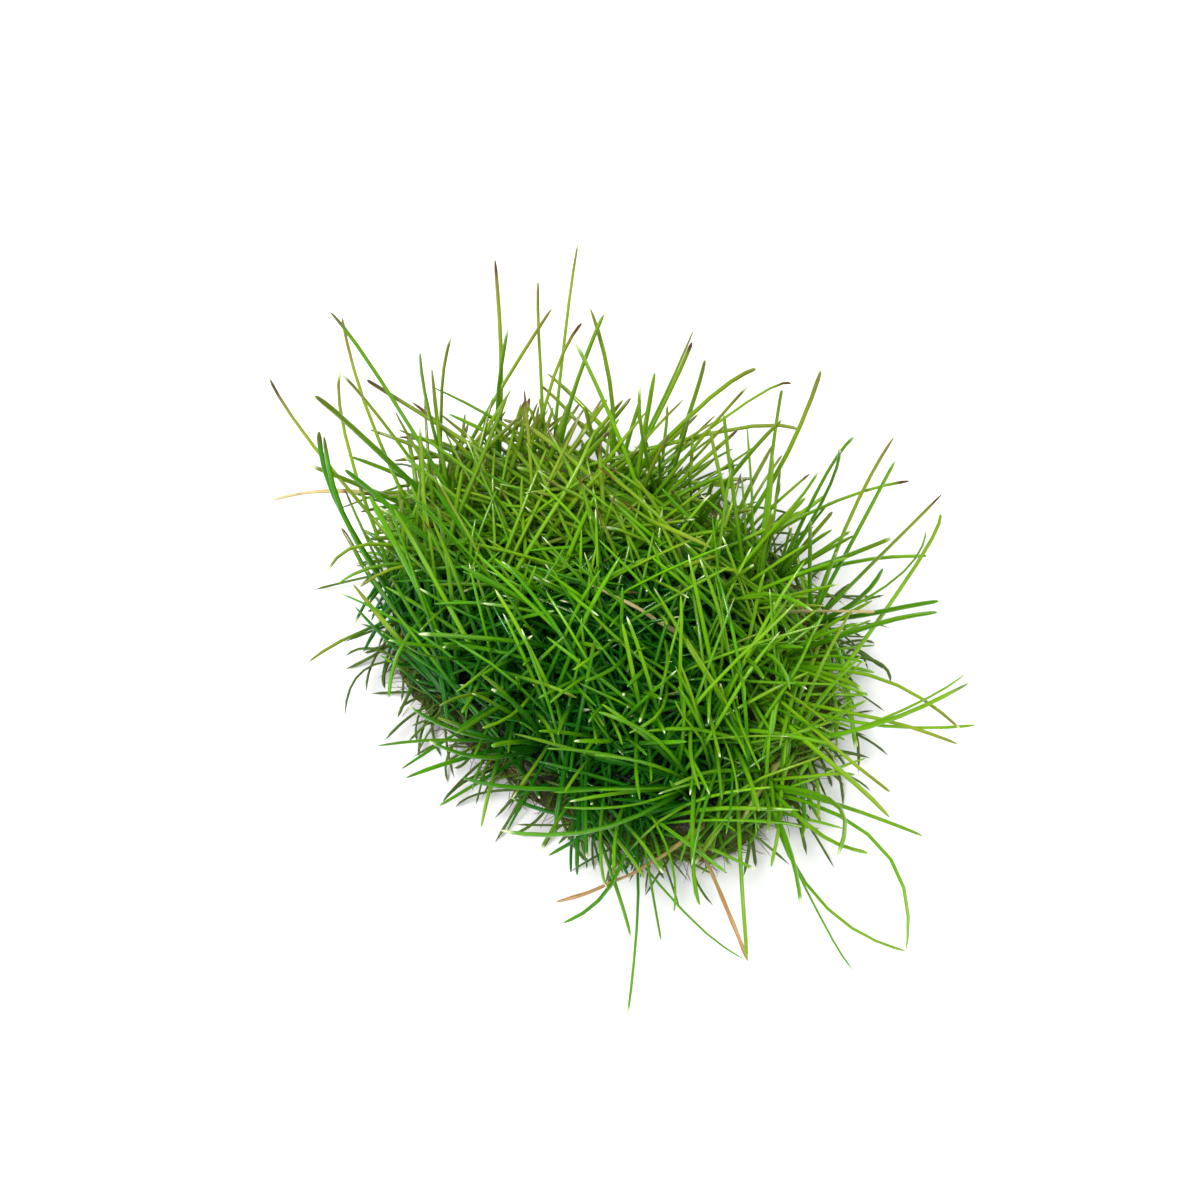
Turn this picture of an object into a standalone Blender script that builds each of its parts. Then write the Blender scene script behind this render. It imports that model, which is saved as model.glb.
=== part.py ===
"""A portion of dwarf hairgrass, as lifted from the dish it grew in.

Hair-thin leaves stand in tufts on a low mat of matted roots. Each tuft is one piece, grown from
one crown, and the mat is another. A few withered leaves lie among the green ones, each a piece of
its own. Metres, +Z up, with the origin under the middle of the portion, on the surface it rests on.
"""

import math
import random
from typing import NamedTuple

import bmesh
import bpy
import numpy as np
from mathutils import Matrix, Vector, noise
from mathutils.bvhtree import BVHTree

MM = 0.001
SEED = 31

# The mat of roots: its rim from above, in mm from its middle, and its rings from the underside up
# as a share of the rim and a share of the height.
MAT_HEIGHT = 4.6 * MM
MAT_RIM = (
    (19, 0), (17.5, 7.5), (13, 13.5), (7, 18), (-1, 20), (-9, 21), (-16, 19), (-19, 13),
    (-18.6, 5.5), (-16.8, -1.5), (-12.8, -6.4), (-8.6, -10), (-4.2, -13.4), (1, -16.4), (8, -17.6),
    (13.6, -13.8), (17.4, -7.6),
)
MAT_RINGS = ((0.95, 0.0), (1.0, 0.22), (0.99, 0.5), (0.93, 0.76), (0.8, 0.92), (0.55, 0.98), (0.25, 1.0))
MAT_SIDES = 44
LUMP_PITCH = 5.0 * MM
LUMP_SIZE = 0.45 * MM
RIM_LUMP_GAIN = 2.0

# The tufts: one crown each, with a socket for each leaf.
TUFT_SPACING = 4.85 * MM
TUFT_JITTER = 0.65 * MM
TUFT_RIM_SHARE = 0.93
GRID_ROWS = 6
SOCKETS = 11
CROWN_FOOT_RADIUS = 0.8 * MM
CROWN_TOP_RADIUS = 1.1 * MM
CROWN_HEIGHT = 1.1 * MM
CROWN_CLIMB = 0.05 * MM

# The leaves: round, tapering to a point, three-sided here. Those that were seen in the picture
# have their own bend, and the others fill the tufts, the longer ones first.
LEAF_RADIUS = 0.26 * MM
SEEN_STATIONS = (0.0, 0.12, 0.42, 0.72, 1.0)
FILLING_STATIONS = (0.0, 0.12, 0.58, 1.0)
FILLING_LENGTHS = (9.0 * MM, 19.0 * MM)
SHORT_LENGTHS = (6.0 * MM, 12.0 * MM)
AMONG_SEEN_SHARES = (0.45, 0.8)
MOST_ARCH = 0.12
MOST_SWING = 0.07

# The withered leaves are a little wider, and cut off at the foot.
WITHERED_RADIUS = 0.3 * MM
WITHERED_LENGTHS = (9.0 * MM, 18.0 * MM)
WITHERED_RISE = 0.25 * MM
WITHERED_RISES = 40
STUB_SHARE = 0.05

# How far pieces stay apart, and how closely that is tested along a leaf.
LEAF_GAP = 0.05 * MM
MAT_GAP = 0.3 * MM
FLOOR_GAP = 0.4 * MM
TEST_PITCH = 1.5 * MM
PARALLEL = 1e-18

# How the tufts lean by rule: by how far out their crown stands, from the middle to the rim.
MIDDLE_LEAN = (math.radians(12), math.radians(46))
RIM_LEAN = (math.radians(22), math.radians(55))
RIM_SWING = math.radians(70)
FAN = (math.radians(4), math.radians(24))
WIDE_FAN = (math.radians(20), math.radians(36))

# What speaks against a tuft for a leaf that was seen: a lean unlike its other leaves', and a
# crown that stands to one side of the leaf's line, or beyond its foot.
FAN_LIMIT = math.radians(32)
LEAN_COST = 25.0 * MM
ASIDE_COST = 1.5
BEYOND_COST = 0.35

# The trials for one leaf: shares of its usual length, how far its bend moves to or from the eye,
# and the shares of the way at which a bend may lie.
LENGTH_TRIALS = (1.0, 0.97, 1.03, 0.94, 1.06, 0.91, 1.09, 0.88, 1.12, 0.84, 0.8, 0.76)
SWAY_TRIALS = (0.04, 0.1, -0.02, 0.16)
BEND_SHARES = (0.35, 0.7)
LEAST_RISE = 0.2
FAN_TRIES = 170
NEXT_TUFTS = 6

# Where the portion is looked at from, which is how its own leaves are placed: an eye in front,
# looking down on the mat, and a square picture across which points are counted from its top left.
VIEW_TILT = math.radians(57)
VIEW_DISTANCE = 200.0 * MM
PICTURE_WIDTH = 100.0 * MM
PICTURE_POINTS = 1200
MAT_IN_PICTURE = (610, 655)
MASS_IN_PICTURE = (612, 634)
MASS_HALF_SIZES = (266, 246)

GREEN = (0.10, 0.30, 0.012)
ROOT_BROWN = (0.16, 0.13, 0.045)
WITHERED_TAN = (0.62, 0.27, 0.09)
STRAW = (0.66, 0.50, 0.22)


class Group(NamedTuple):
    """Leaves of one side: their usual length and, for each, its tip, bend and foot in the picture."""

    length: float
    leaves: tuple


BACK = Group(20.5 * MM, (
    ((579, 238), (565, 330), (555, 470)),
    ((495, 259), (500, 338), (497, 430)),
    ((508, 328), (501, 370), (498, 440)),
    ((552, 308), (510, 373), (470, 440)),
    ((538, 281), (539, 350), (541, 440)),
    ((451, 337), (444, 370), (437, 425)),
    ((582, 323), (562, 355), (545, 430)),
    ((604, 314), (584, 360), (566, 440)),
    ((590, 308), (608, 370), (606, 460)),
    ((575, 343), (600, 390), (632, 455)),
    ((640, 384), (640, 418), (642, 470)),
    ((694, 329), (673, 377), (610, 460)),
    ((692, 342), (679, 372), (650, 440)),
    ((705, 360), (699, 382), (661, 449)),
    ((689, 418), (683, 440), (672, 482)),
    ((756, 369), (728, 384), (690, 425)),
    ((748, 386), (722, 414), (672, 465)),
    ((791, 384), (766, 390), (715, 430)),
    ((782, 390), (777, 418), (763, 490)),
    ((782, 420), (750, 452), (712, 495)),
    ((724, 415), (728, 451), (738, 495)),
    ((799, 430), (745, 427), (690, 440)),
    ((821, 370), (797, 433), (768, 505)),
    ((420, 352), (425, 395), (440, 450)),
    ((655, 372), (648, 410), (630, 470)),
))

RIGHT = Group(21.0 * MM, (
    ((894, 437), (868, 480), (830, 548)),
    ((895, 461), (872, 504), (838, 570)),
    ((910, 481), (859, 492), (766, 531)),
    ((854, 437), (836, 458), (800, 510)),
    ((839, 448), (836, 470), (822, 520)),
    ((818, 472), (802, 494), (775, 530)),
    ((942, 494), (910, 526), (850, 580)),
    ((940, 514), (930, 542), (885, 605)),
    ((926, 531), (914, 560), (872, 612)),
    ((927, 556), (890, 557), (830, 572)),
    ((891, 538), (869, 547), (815, 575)),
    ((883, 568), (869, 589), (832, 625)),
    ((939, 601), (895, 608), (812, 609)),
    ((938, 612), (886, 621), (812, 645)),
    ((963, 732), (915, 694), (818, 648)),
    ((969, 683), (920, 707), (835, 750)),
    ((965, 674), (925, 700), (845, 730)),
    ((976, 725), (895, 726), (800, 733)),
    ((958, 744), (905, 726), (820, 716)),
    ((890, 792), (855, 763), (800, 720)),
    ((890, 818), (845, 773), (779, 726)),
    ((906, 951), (897, 870), (835, 765)),
    ((906, 951), (842, 921), (745, 862)),
    ((854, 971), (830, 936), (770, 880)),
    ((923, 836), (881, 819), (785, 792)),
    ((868, 853), (836, 842), (780, 815)),
    ((837, 856), (845, 819), (838, 760)),
))

FRONT = Group(21.0 * MM, (
    ((747, 959), (744, 913), (738, 815)),
    ((744, 959), (702, 929), (640, 862)),
    ((627, 1018), (635, 955), (655, 862)),
    ((661, 940), (655, 906), (650, 845)),
    ((631, 939), (623, 908), (612, 850)),
    ((674, 912), (672, 862), (661, 809)),
    ((563, 923), (606, 892), (634, 825)),
    ((587, 858), (586, 830), (588, 790)),
    ((481, 828), (492, 780), (520, 712)),
    ((500, 830), (555, 835), (626, 828)),
    ((563, 807), (619, 806), (698, 761)),
    ((462, 777), (504, 786), (565, 784)),
    ((429, 741), (470, 755), (563, 747)),
    ((408, 705), (450, 728), (505, 752)),
    ((457, 733), (480, 718), (520, 692)),
    ((700, 905), (693, 870), (690, 815)),
    ((801, 905), (795, 868), (765, 800)),
    ((607, 888), (600, 860), (600, 810)),
))

LEFT = Group(19.5 * MM, (
    ((330, 312), (362, 352), (425, 462)),
    ((342, 317), (356, 375), (390, 440)),
    ((270, 379), (296, 422), (350, 490)),
    ((319, 431), (327, 475), (362, 560)),
    ((324, 436), (335, 490), (368, 566)),
    ((315, 396), (338, 414), (395, 462)),
    ((342, 374), (368, 403), (425, 462)),
    ((341, 369), (340, 409), (370, 480)),
    ((367, 380), (400, 400), (470, 440)),
    ((328, 572), (352, 547), (400, 508)),
    ((309, 662), (346, 639), (405, 606)),
    ((360, 587), (400, 566), (445, 530)),
    ((338, 584), (372, 567), (420, 545)),
    ((389, 698), (402, 644), (425, 568)),
    ((345, 470), (368, 488), (415, 520)),
))

MIDDLE = Group(17.5 * MM, (
    ((456, 692), (500, 655), (556, 596)),
    ((596, 706), (568, 670), (530, 622)),
    ((482, 728), (528, 699), (565, 668)),
    ((466, 719), (476, 668), (480, 605)),
    ((689, 598), (638, 572), (540, 527)),
    ((712, 548), (650, 518), (590, 485)),
    ((613, 510), (580, 479), (540, 462)),
    ((800, 511), (740, 541), (670, 575)),
    ((573, 670), (620, 630), (675, 578)),
    ((585, 681), (630, 645), (700, 612)),
    ((813, 611), (770, 594), (715, 575)),
    ((629, 733), (666, 700), (706, 645)),
    ((661, 686), (668, 656), (669, 612)),
    ((577, 698), (540, 682), (450, 648)),
    ((418, 634), (470, 636), (545, 640)),
    ((406, 645), (440, 658), (490, 680)),
    ((599, 616), (566, 578), (542, 530)),
    ((544, 581), (580, 553), (620, 528)),
    ((550, 703), (599, 668), (645, 640)),
    ((574, 741), (610, 738), (665, 732)),
    ((598, 712), (640, 728), (700, 748)),
    ((461, 566), (502, 587), (560, 612)),
    ((660, 582), (672, 560), (690, 520)),
    ((745, 700), (735, 665), (728, 610)),
    ((790, 690), (765, 650), (742, 600)),
    ((700, 790), (690, 745), (688, 690)),
    ((640, 800), (636, 760), (630, 705)),
    ((760, 770), (745, 735), (725, 680)),
))

WITHERED = {
    "withered_leaf_front": ((748, 961), (726, 905), (686, 822)),
    "withered_leaf_front_left": ((556, 902), (630, 874), (704, 826)),
    "withered_leaf_right": ((875, 612), (822, 611), (768, 613)),
    "withered_leaf_middle": ((590, 585), (645, 613), (709, 656)),
    "withered_leaf_left": ((273, 500), (312, 492), (420, 503)),
}


class View:
    """The eye in front of the portion, and the rays from it through the points of its picture."""

    def __init__(self):
        self.right = np.array((1.0, 0.0, 0.0))
        self.up = np.array((0.0, math.sin(VIEW_TILT), math.cos(VIEW_TILT)))
        self.toward = np.array((0.0, -math.cos(VIEW_TILT), math.sin(VIEW_TILT)))
        across, down = np.array(MAT_IN_PICTURE) - PICTURE_POINTS / 2
        grain = PICTURE_WIDTH / PICTURE_POINTS
        aim = np.array((0.0, 0.0, MAT_HEIGHT)) - self.right * across * grain + self.up * down * grain
        self.aim = aim
        self.eye = aim + self.toward * VIEW_DISTANCE

    def ray(self, point):
        """The unit direction from the eye through a point of the picture."""
        across, down = (np.array(point) - PICTURE_POINTS / 2) * PICTURE_WIDTH / PICTURE_POINTS
        way = self.aim + self.right * across - self.up * down - self.eye
        return way / np.linalg.norm(way)

    def at_height(self, point, height):
        """Where the ray through a picture point comes down to a height."""
        way = self.ray(point)
        return self.eye + way * (height - self.eye[2]) / way[2]

    def at_distance(self, point, distance):
        """The place on the ray through a picture point at a distance from the eye."""
        return self.eye + self.ray(point) * distance

    def point(self, place):
        """The picture point of a place."""
        way = place - self.eye
        flat = np.array((np.dot(way, self.right), -np.dot(way, self.up))) / -np.dot(way, self.toward)
        return PICTURE_POINTS / 2 + flat * VIEW_DISTANCE * PICTURE_POINTS / PICTURE_WIDTH

    def in_mass(self, place):
        """Whether a place is seen within the oval that the mass of the leaves fills."""
        off = (self.point(place) - MASS_IN_PICTURE) / MASS_HALF_SIZES
        return np.dot(off, off) < 1

    def distance(self, place):
        """How far a place is from the eye."""
        return float(np.linalg.norm(place - self.eye))

    def reach(self, point, foot, length):
        """Where a leaf of this length ends on the ray through a picture point, on the eye's side."""
        way = self.ray(point)
        nearest = float(np.dot(foot - self.eye, way))
        aside = float(np.linalg.norm(self.eye + way * nearest - foot))
        rise = math.sqrt(max(length**2 - aside**2, (LEAST_RISE * length) ** 2))
        return self.eye + way * (nearest - rise)


VIEW = View()


class Curve(NamedTuple):
    """A leaf's middle line: one smooth bend from its foot to its tip."""

    foot: np.ndarray
    pull: np.ndarray
    tip: np.ndarray

    def points(self, stations):
        """The places along the line, one for each station from 0 at the foot to 1 at the tip."""
        share = np.array(stations)[:, None]
        return (1 - share) ** 2 * self.foot + 2 * share * (1 - share) * self.pull + share**2 * self.tip


def curve_through(foot, middle, tip, share):
    """The leaf from foot to tip that passes through a middle place at this share of its way."""
    rest = 1 - share
    return Curve(foot, (middle - rest**2 * foot - share**2 * tip) / (2 * share * rest), tip)


class Thicket:
    """Every leaf and crown that stands so far, as straight runs, to keep new leaves clear of them."""

    def __init__(self, mat_tree):
        self.mat_tree = mat_tree
        self.starts = np.empty((0, 3))
        self.ends = np.empty((0, 3))
        self.radii = np.empty(0)
        self.tufts = np.empty(0, int)
        self.firsts = np.empty(0, bool)

    def add(self, points, radius, tuft):
        """Note a line of points as something of this radius that belongs to a tuft."""
        runs = len(points) - 1
        self.starts = np.vstack((self.starts, points[:-1]))
        self.ends = np.vstack((self.ends, points[1:]))
        self.radii = np.append(self.radii, np.full(runs, radius))
        self.tufts = np.append(self.tufts, np.full(runs, tuft))
        self.firsts = np.append(self.firsts, np.arange(runs) == 0)

    def clear(self, points, radius, tuft):
        """Whether a leaf along these points touches nothing: not the mat, the floor or another leaf."""
        if points[1:, 2].min() < radius + FLOOR_GAP:
            return False
        if any(self.over_mat(place) < radius + MAT_GAP for place in resampled(points[1:])):
            return False
        own = self.tufts == tuft
        for number, (start, end) in enumerate(zip(points[:-1], points[1:])):
            apart = run_distance(start, end, self.starts, self.ends)
            tight = apart < self.radii + radius + LEAF_GAP
            shared = own & (self.firsts | (number == 0))
            if np.any(tight & ~shared):
                return False
        return True

    def over_mat(self, place):
        """How far a place is outside the mat's surface, negative inside it."""
        spot, normal, _, apart = self.mat_tree.find_nearest(Vector(place))
        return apart if (Vector(place) - spot).dot(normal) > 0 else -apart


def resampled(points):
    """Places along straight runs, close enough to test the runs by."""
    places = [points[0]]
    for start, end in zip(points[:-1], points[1:]):
        count = math.ceil(np.linalg.norm(end - start) / TEST_PITCH)
        places.extend(start + (end - start) * step / count for step in range(1, count + 1))
    return places


def run_distance(start, end, starts, ends):
    """The shortest distance from one straight run to each of many."""
    way, ways, between = end - start, ends - starts, start - starts
    way_way = np.dot(way, way)
    ways_ways = np.einsum("ij,ij->i", ways, ways)
    cross = ways @ way
    along = np.einsum("ij,ij->i", ways, between)
    back = between @ way
    spread = np.maximum(way_way * ways_ways - cross**2, PARALLEL)
    share = np.clip((cross * along - back * ways_ways) / spread, 0, 1)
    shares = np.clip((cross * share + along) / ways_ways, 0, 1)
    share = np.clip((cross * shares - back) / way_way, 0, 1)
    return np.linalg.norm(between + share[:, None] * way - shares[:, None] * ways, axis=1)


def clear_scene():
    """Empty the scene."""
    for obj in list(bpy.data.objects):
        bpy.data.objects.remove(obj, do_unlink=True)


def finish(name, colour, roughness):
    """A plain finish of one colour."""
    material = bpy.data.materials.new(name)
    material.use_nodes = True
    shader = material.node_tree.nodes["Principled BSDF"]
    shader.inputs["Base Color"].default_value = (*colour, 1.0)
    shader.inputs["Roughness"].default_value = roughness
    shader.inputs["Metallic"].default_value = 0.0
    return material


def put(bm, name, origin, material, parent, collection):
    """Make an object of a mesh that was built in place, with its origin where it grows from."""
    bmesh.ops.translate(bm, verts=bm.verts, vec=-origin)
    bmesh.ops.recalc_face_normals(bm, faces=bm.faces)
    mesh = bpy.data.meshes.new(name)
    bm.to_mesh(mesh)
    bm.free()
    mesh.materials.append(material)
    obj = bpy.data.objects.new(name, mesh)
    obj.location = origin
    obj.parent = parent
    collection.objects.link(obj)
    return obj


def rim_radius(angle):
    """How far the mat's rim is from its middle in a direction."""
    across, back = (np.array(MAT_RIM) * MM).T
    return np.interp(angle, np.arctan2(back, across), np.hypot(across, back), period=math.tau)


def lump(place):
    """How far the matted roots stand proud at a place."""
    return LUMP_SIZE * noise.noise(Vector(place) / LUMP_PITCH)


def root_mat():
    """The mat: a flat underside, and rings above it that follow the rim, lumpy, up to a low crown."""
    angles = np.arange(MAT_SIDES) * math.tau / MAT_SIDES
    rings = []
    for share, rise in MAT_RINGS:
        ring = []
        for angle in angles:
            flat = Vector((math.cos(angle), math.sin(angle), 0)) * rim_radius(angle) * share
            place = flat + Vector((0, 0, MAT_HEIGHT * rise))
            swell = lump(place)
            outward = flat.normalized() * swell * RIM_LUMP_GAIN
            ring.append(place + outward + Vector((0, 0, swell * rise)))
        rings.append(ring)
    bm = bmesh.new()
    face = bm.faces.new([bm.verts.new(place) for place in rings[0]])
    face = draw_out(bm, bmesh.ops.extrude_face_region(bm, geom=[face])["geom"], rings[1])
    for ring in rings[2:]:
        face = draw_out(bm, bmesh.ops.extrude_discrete_faces(bm, faces=[face])["faces"], ring)
    bmesh.ops.poke(bm, faces=[face])
    return bm


def draw_out(bm, extruded, ring):
    """Move the corners of a face that was just extruded to a ring of places, and return the face."""
    face = next(item for item in extruded if isinstance(item, bmesh.types.BMFace))
    for corner, place in zip(face.verts, ring):
        corner.co = place
    return face


def grow_leaf(bm, face, points, radius):
    """Draw a face out along a leaf's middle line, as thick as the leaf, and close it in a point."""
    for before, here, after in zip(points, points[1:], points[2:]):
        way = Vector(after - before).normalized()
        middle = face.calc_center_median()
        ring = []
        for corner in face.verts:
            side = corner.co - middle
            ring.append(Vector(here) + (side - way * side.dot(way)).normalized() * radius)
        face = draw_out(bm, bmesh.ops.extrude_discrete_faces(bm, faces=[face])["faces"], ring)
    last = bmesh.ops.extrude_discrete_faces(bm, faces=[face])["faces"][0]
    bmesh.ops.pointmerge(bm, verts=last.verts, merge_co=Vector(points[-1]))


class Tuft:
    """One plantlet: a crown on the mat, and the leaves that its sockets bear."""

    def __init__(self, number, spot):
        self.number = number
        self.spot = spot
        self.seen = []
        self.axis = None
        self.bm = None
        self.sockets = []
        self.origin = None
        self.head = None

    def way_to(self, seen, length):
        """The direction in which a leaf that was seen would leave this tuft."""
        way = VIEW.reach(seen[0], self.spot, length) - self.spot
        return way / np.linalg.norm(way)

    def cost(self, seen, length):
        """How ill a leaf that was seen fits this tuft: how far it stands off, and how it leans."""
        if len(self.seen) >= SOCKETS:
            return math.inf
        way = self.way_to(seen, length)
        apart = [math.acos(min(1, np.dot(way, self.way_to(*other)))) for other in self.seen]
        spread = max(apart, default=0)
        foot, bend = (VIEW.at_height(point, self.spot[2]) for point in (seen[2], seen[1]))
        inward = (foot - bend) / np.linalg.norm(foot - bend)
        beyond = np.dot(self.spot - foot, inward)
        aside = np.linalg.norm(self.spot - foot - inward * beyond)
        off = ASIDE_COST * aside + max(BEYOND_COST * beyond, -beyond)
        return off + LEAN_COST * max(0, spread - FAN_LIMIT)

    def settle(self, rng):
        """Set which way the tuft leans: as its own leaves do, or by how near the rim it stands."""
        if self.seen:
            axis = sum(self.way_to(*leaf) for leaf in self.seen)
        else:
            outward = math.atan2(self.spot[1], self.spot[0])
            share = np.hypot(*self.spot[:2]) / rim_radius(outward)
            low, high = (a + (b - a) * share**2 for a, b in zip(MIDDLE_LEAN, RIM_LEAN))
            lean = rng.uniform(low, high)
            swing = RIM_SWING + (math.pi - RIM_SWING) * (1 - share) ** 0.5
            toward = outward + rng.uniform(-swing, swing)
            axis = (math.sin(lean) * math.cos(toward), math.sin(lean) * math.sin(toward), math.cos(lean))
        self.axis = Vector(axis).normalized()

    def seat(self, thicket):
        """Stand the crown on the mat, clear of it all round, and open its sockets."""
        turn = self.axis.to_track_quat("Z", "Y").to_matrix().to_4x4()
        base = Vector(self.spot)
        corners = [math.tau * step / SOCKETS for step in range(SOCKETS)]
        rim = [Vector((math.cos(corner), math.sin(corner), 0)) for corner in corners]
        while True:
            low = [base + turn @ (side * CROWN_FOOT_RADIUS) for side in rim]
            high = [base + turn @ (side * CROWN_TOP_RADIUS + Vector((0, 0, CROWN_HEIGHT))) for side in rim]
            if min(thicket.over_mat(place) for place in low + high) > MAT_GAP:
                break
            base.z += CROWN_CLIMB
        self.origin = base
        self.head = base + self.axis * CROWN_HEIGHT
        self.bm = bmesh.new()
        middle = base + self.axis * CROWN_HEIGHT / 2
        bmesh.ops.create_cone(
            self.bm, cap_ends=True, segments=SOCKETS, radius1=CROWN_FOOT_RADIUS, radius2=CROWN_TOP_RADIUS,
            depth=CROWN_HEIGHT, matrix=Matrix.Translation(middle) @ turn,
        )
        self.bm.faces.ensure_lookup_table()
        top = max(self.bm.faces, key=lambda face: face.calc_center_median().dot(self.axis))
        self.sockets = bmesh.ops.poke(self.bm, faces=[top])["faces"]
        thicket.add(np.array((self.origin, self.head)), CROWN_TOP_RADIUS, self.number)

    def free_socket(self, way):
        """The free socket that lies furthest toward a direction."""
        aside = Vector(way) - self.axis * Vector(way).dot(self.axis)
        return max(self.sockets, key=lambda face: (face.calc_center_median() - self.head).dot(aside))

    def bear(self, socket, curves, stations, thicket):
        """Grow the first of some leaves that is clear of everything from a socket, if one is."""
        for curve in curves:
            points = curve.points(stations)
            if thicket.clear(points, LEAF_RADIUS, self.number):
                self.sockets.remove(socket)
                grow_leaf(self.bm, socket, points, LEAF_RADIUS)
                thicket.add(points, LEAF_RADIUS, self.number)
                return True
        return False

    def bear_seen(self, seen, length, thicket):
        """Grow a leaf that was seen, where the picture has it."""
        socket = self.free_socket(self.way_to(seen, length))
        foot = np.array(socket.calc_center_median())
        return self.bear(socket, seen_curves(foot, seen, length), SEEN_STATIONS, thicket)

    def fill(self, fan, lengths, rng, thicket):
        """Fan leaves out from the sockets that are still free."""
        for socket in list(self.sockets):
            foot = socket.calc_center_median()
            aside = (foot - self.head).normalized()
            curves = fanned_curves(np.array(foot), self.axis, aside, fan, lengths, rng)
            self.bear(socket, curves, FILLING_STATIONS, thicket)

    def filling_lengths(self):
        """The shortest and longest leaf that fills the tuft: shorter than those that were seen in it."""
        if not self.seen:
            return FILLING_LENGTHS
        usual = sum(length for _, length in self.seen) / len(self.seen)
        return tuple(usual * share for share in AMONG_SEEN_SHARES)


def seen_curves(foot, seen, length):
    """The leaf of this foot that has its tip and bend where they were seen, at several lengths."""
    tip_point, bend_point = (np.array(point, float) for point in seen[:2])
    ahead = np.linalg.norm(tip_point - bend_point)
    behind = np.linalg.norm(bend_point - VIEW.point(foot))
    share = float(np.clip(behind / (ahead + behind), *BEND_SHARES))
    for sway in SWAY_TRIALS:
        for trial in LENGTH_TRIALS:
            tip = VIEW.reach(tip_point, foot, length * trial)
            near, far = VIEW.distance(foot), VIEW.distance(tip)
            bend = VIEW.at_distance(bend_point, near + (far - near) * (share + sway))
            yield curve_through(foot, bend, tip, share)


def fanned_curves(foot, axis, aside, fan, lengths, rng):
    """Leaves that fan out from a tuft's axis to one side, arched a little, mostly the longer ones."""
    for _ in range(FAN_TRIES):
        turn = rng.uniform(*fan)
        way = axis * math.cos(turn) + aside * math.sin(turn)
        length = rng.triangular(*lengths, lengths[1])
        lift = Vector((0, 0, 1)) - way * way.z
        bow = lift * rng.uniform(0.0, MOST_ARCH) + way.cross(lift) * rng.uniform(-MOST_SWING, MOST_SWING)
        pull = foot + np.array(way / 2 + bow) * length
        tip = foot + np.array(way) * length
        if VIEW.in_mass(tip):
            yield Curve(foot, pull, tip)


def tuft_spots(rng):
    """Where crowns stand: a jittered grid of even triangles inside the rim."""
    spots = []
    for row in range(-GRID_ROWS, GRID_ROWS + 1):
        for column in range(-GRID_ROWS, GRID_ROWS + 1):
            x = (column + 0.5 * (row % 2)) * TUFT_SPACING + rng.uniform(-1, 1) * TUFT_JITTER
            y = row * TUFT_SPACING * math.sqrt(3) / 2 + rng.uniform(-1, 1) * TUFT_JITTER
            if math.hypot(x, y) < rim_radius(math.atan2(y, x)) * TUFT_RIM_SHARE:
                spots.append(np.array((x, y, MAT_HEIGHT - LUMP_SIZE)))
    return spots


def share_out(tufts):
    """Give each leaf that was seen to the nearest tuft that it fits."""
    for group in (BACK, LEFT, FRONT, RIGHT, MIDDLE):
        for seen in group.leaves:
            taker = min(tufts, key=lambda tuft: tuft.cost(seen, group.length))
            taker.seen.append((seen, group.length))


def bear_somewhere(leaf, tuft, tufts, thicket):
    """Grow a leaf that was seen from its tuft or, where that has no room, from the next that fits it."""
    others = sorted(tufts, key=lambda other: other.cost(*leaf))[:NEXT_TUFTS]
    for other in (tuft, *others):
        if other.sockets and other.bear_seen(*leaf, thicket):
            return


def withered_leaf(seen, number, thicket, rng):
    """A withered leaf that was seen, with its foot as low among the others as it can lie clear."""
    for step in range(WITHERED_RISES):
        foot = VIEW.at_height(seen[2], MAT_HEIGHT + step * WITHERED_RISE)
        for curve in seen_curves(foot, seen, rng.uniform(*WITHERED_LENGTHS)):
            points = curve.points(SEEN_STATIONS)
            if thicket.over_mat(foot) > WITHERED_RADIUS and thicket.clear(points, WITHERED_RADIUS, number):
                thicket.add(points, WITHERED_RADIUS, number)
                return cut_leaf(points)
    raise RuntimeError("no clear place for a withered leaf")


def cut_leaf(points):
    """A leaf on its own, from its cut foot to its point."""
    bm = bmesh.new()
    way = Vector(points[1] - points[0])
    turn = way.to_track_quat("Z", "Y").to_matrix().to_4x4()
    bmesh.ops.create_circle(
        bm, cap_ends=True, segments=3, radius=WITHERED_RADIUS, matrix=Matrix.Translation(points[0]) @ turn
    )
    foot = [corner.co.copy() for corner in bm.verts]
    stub = Vector(points[1] - points[0]) * STUB_SHARE
    extruded = bmesh.ops.extrude_face_region(bm, geom=list(bm.faces))["geom"]
    face = draw_out(bm, extruded, [corner + stub for corner in foot])
    grow_leaf(bm, face, np.vstack((points[0] + stub, points[1:])), WITHERED_RADIUS)
    return bm


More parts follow.
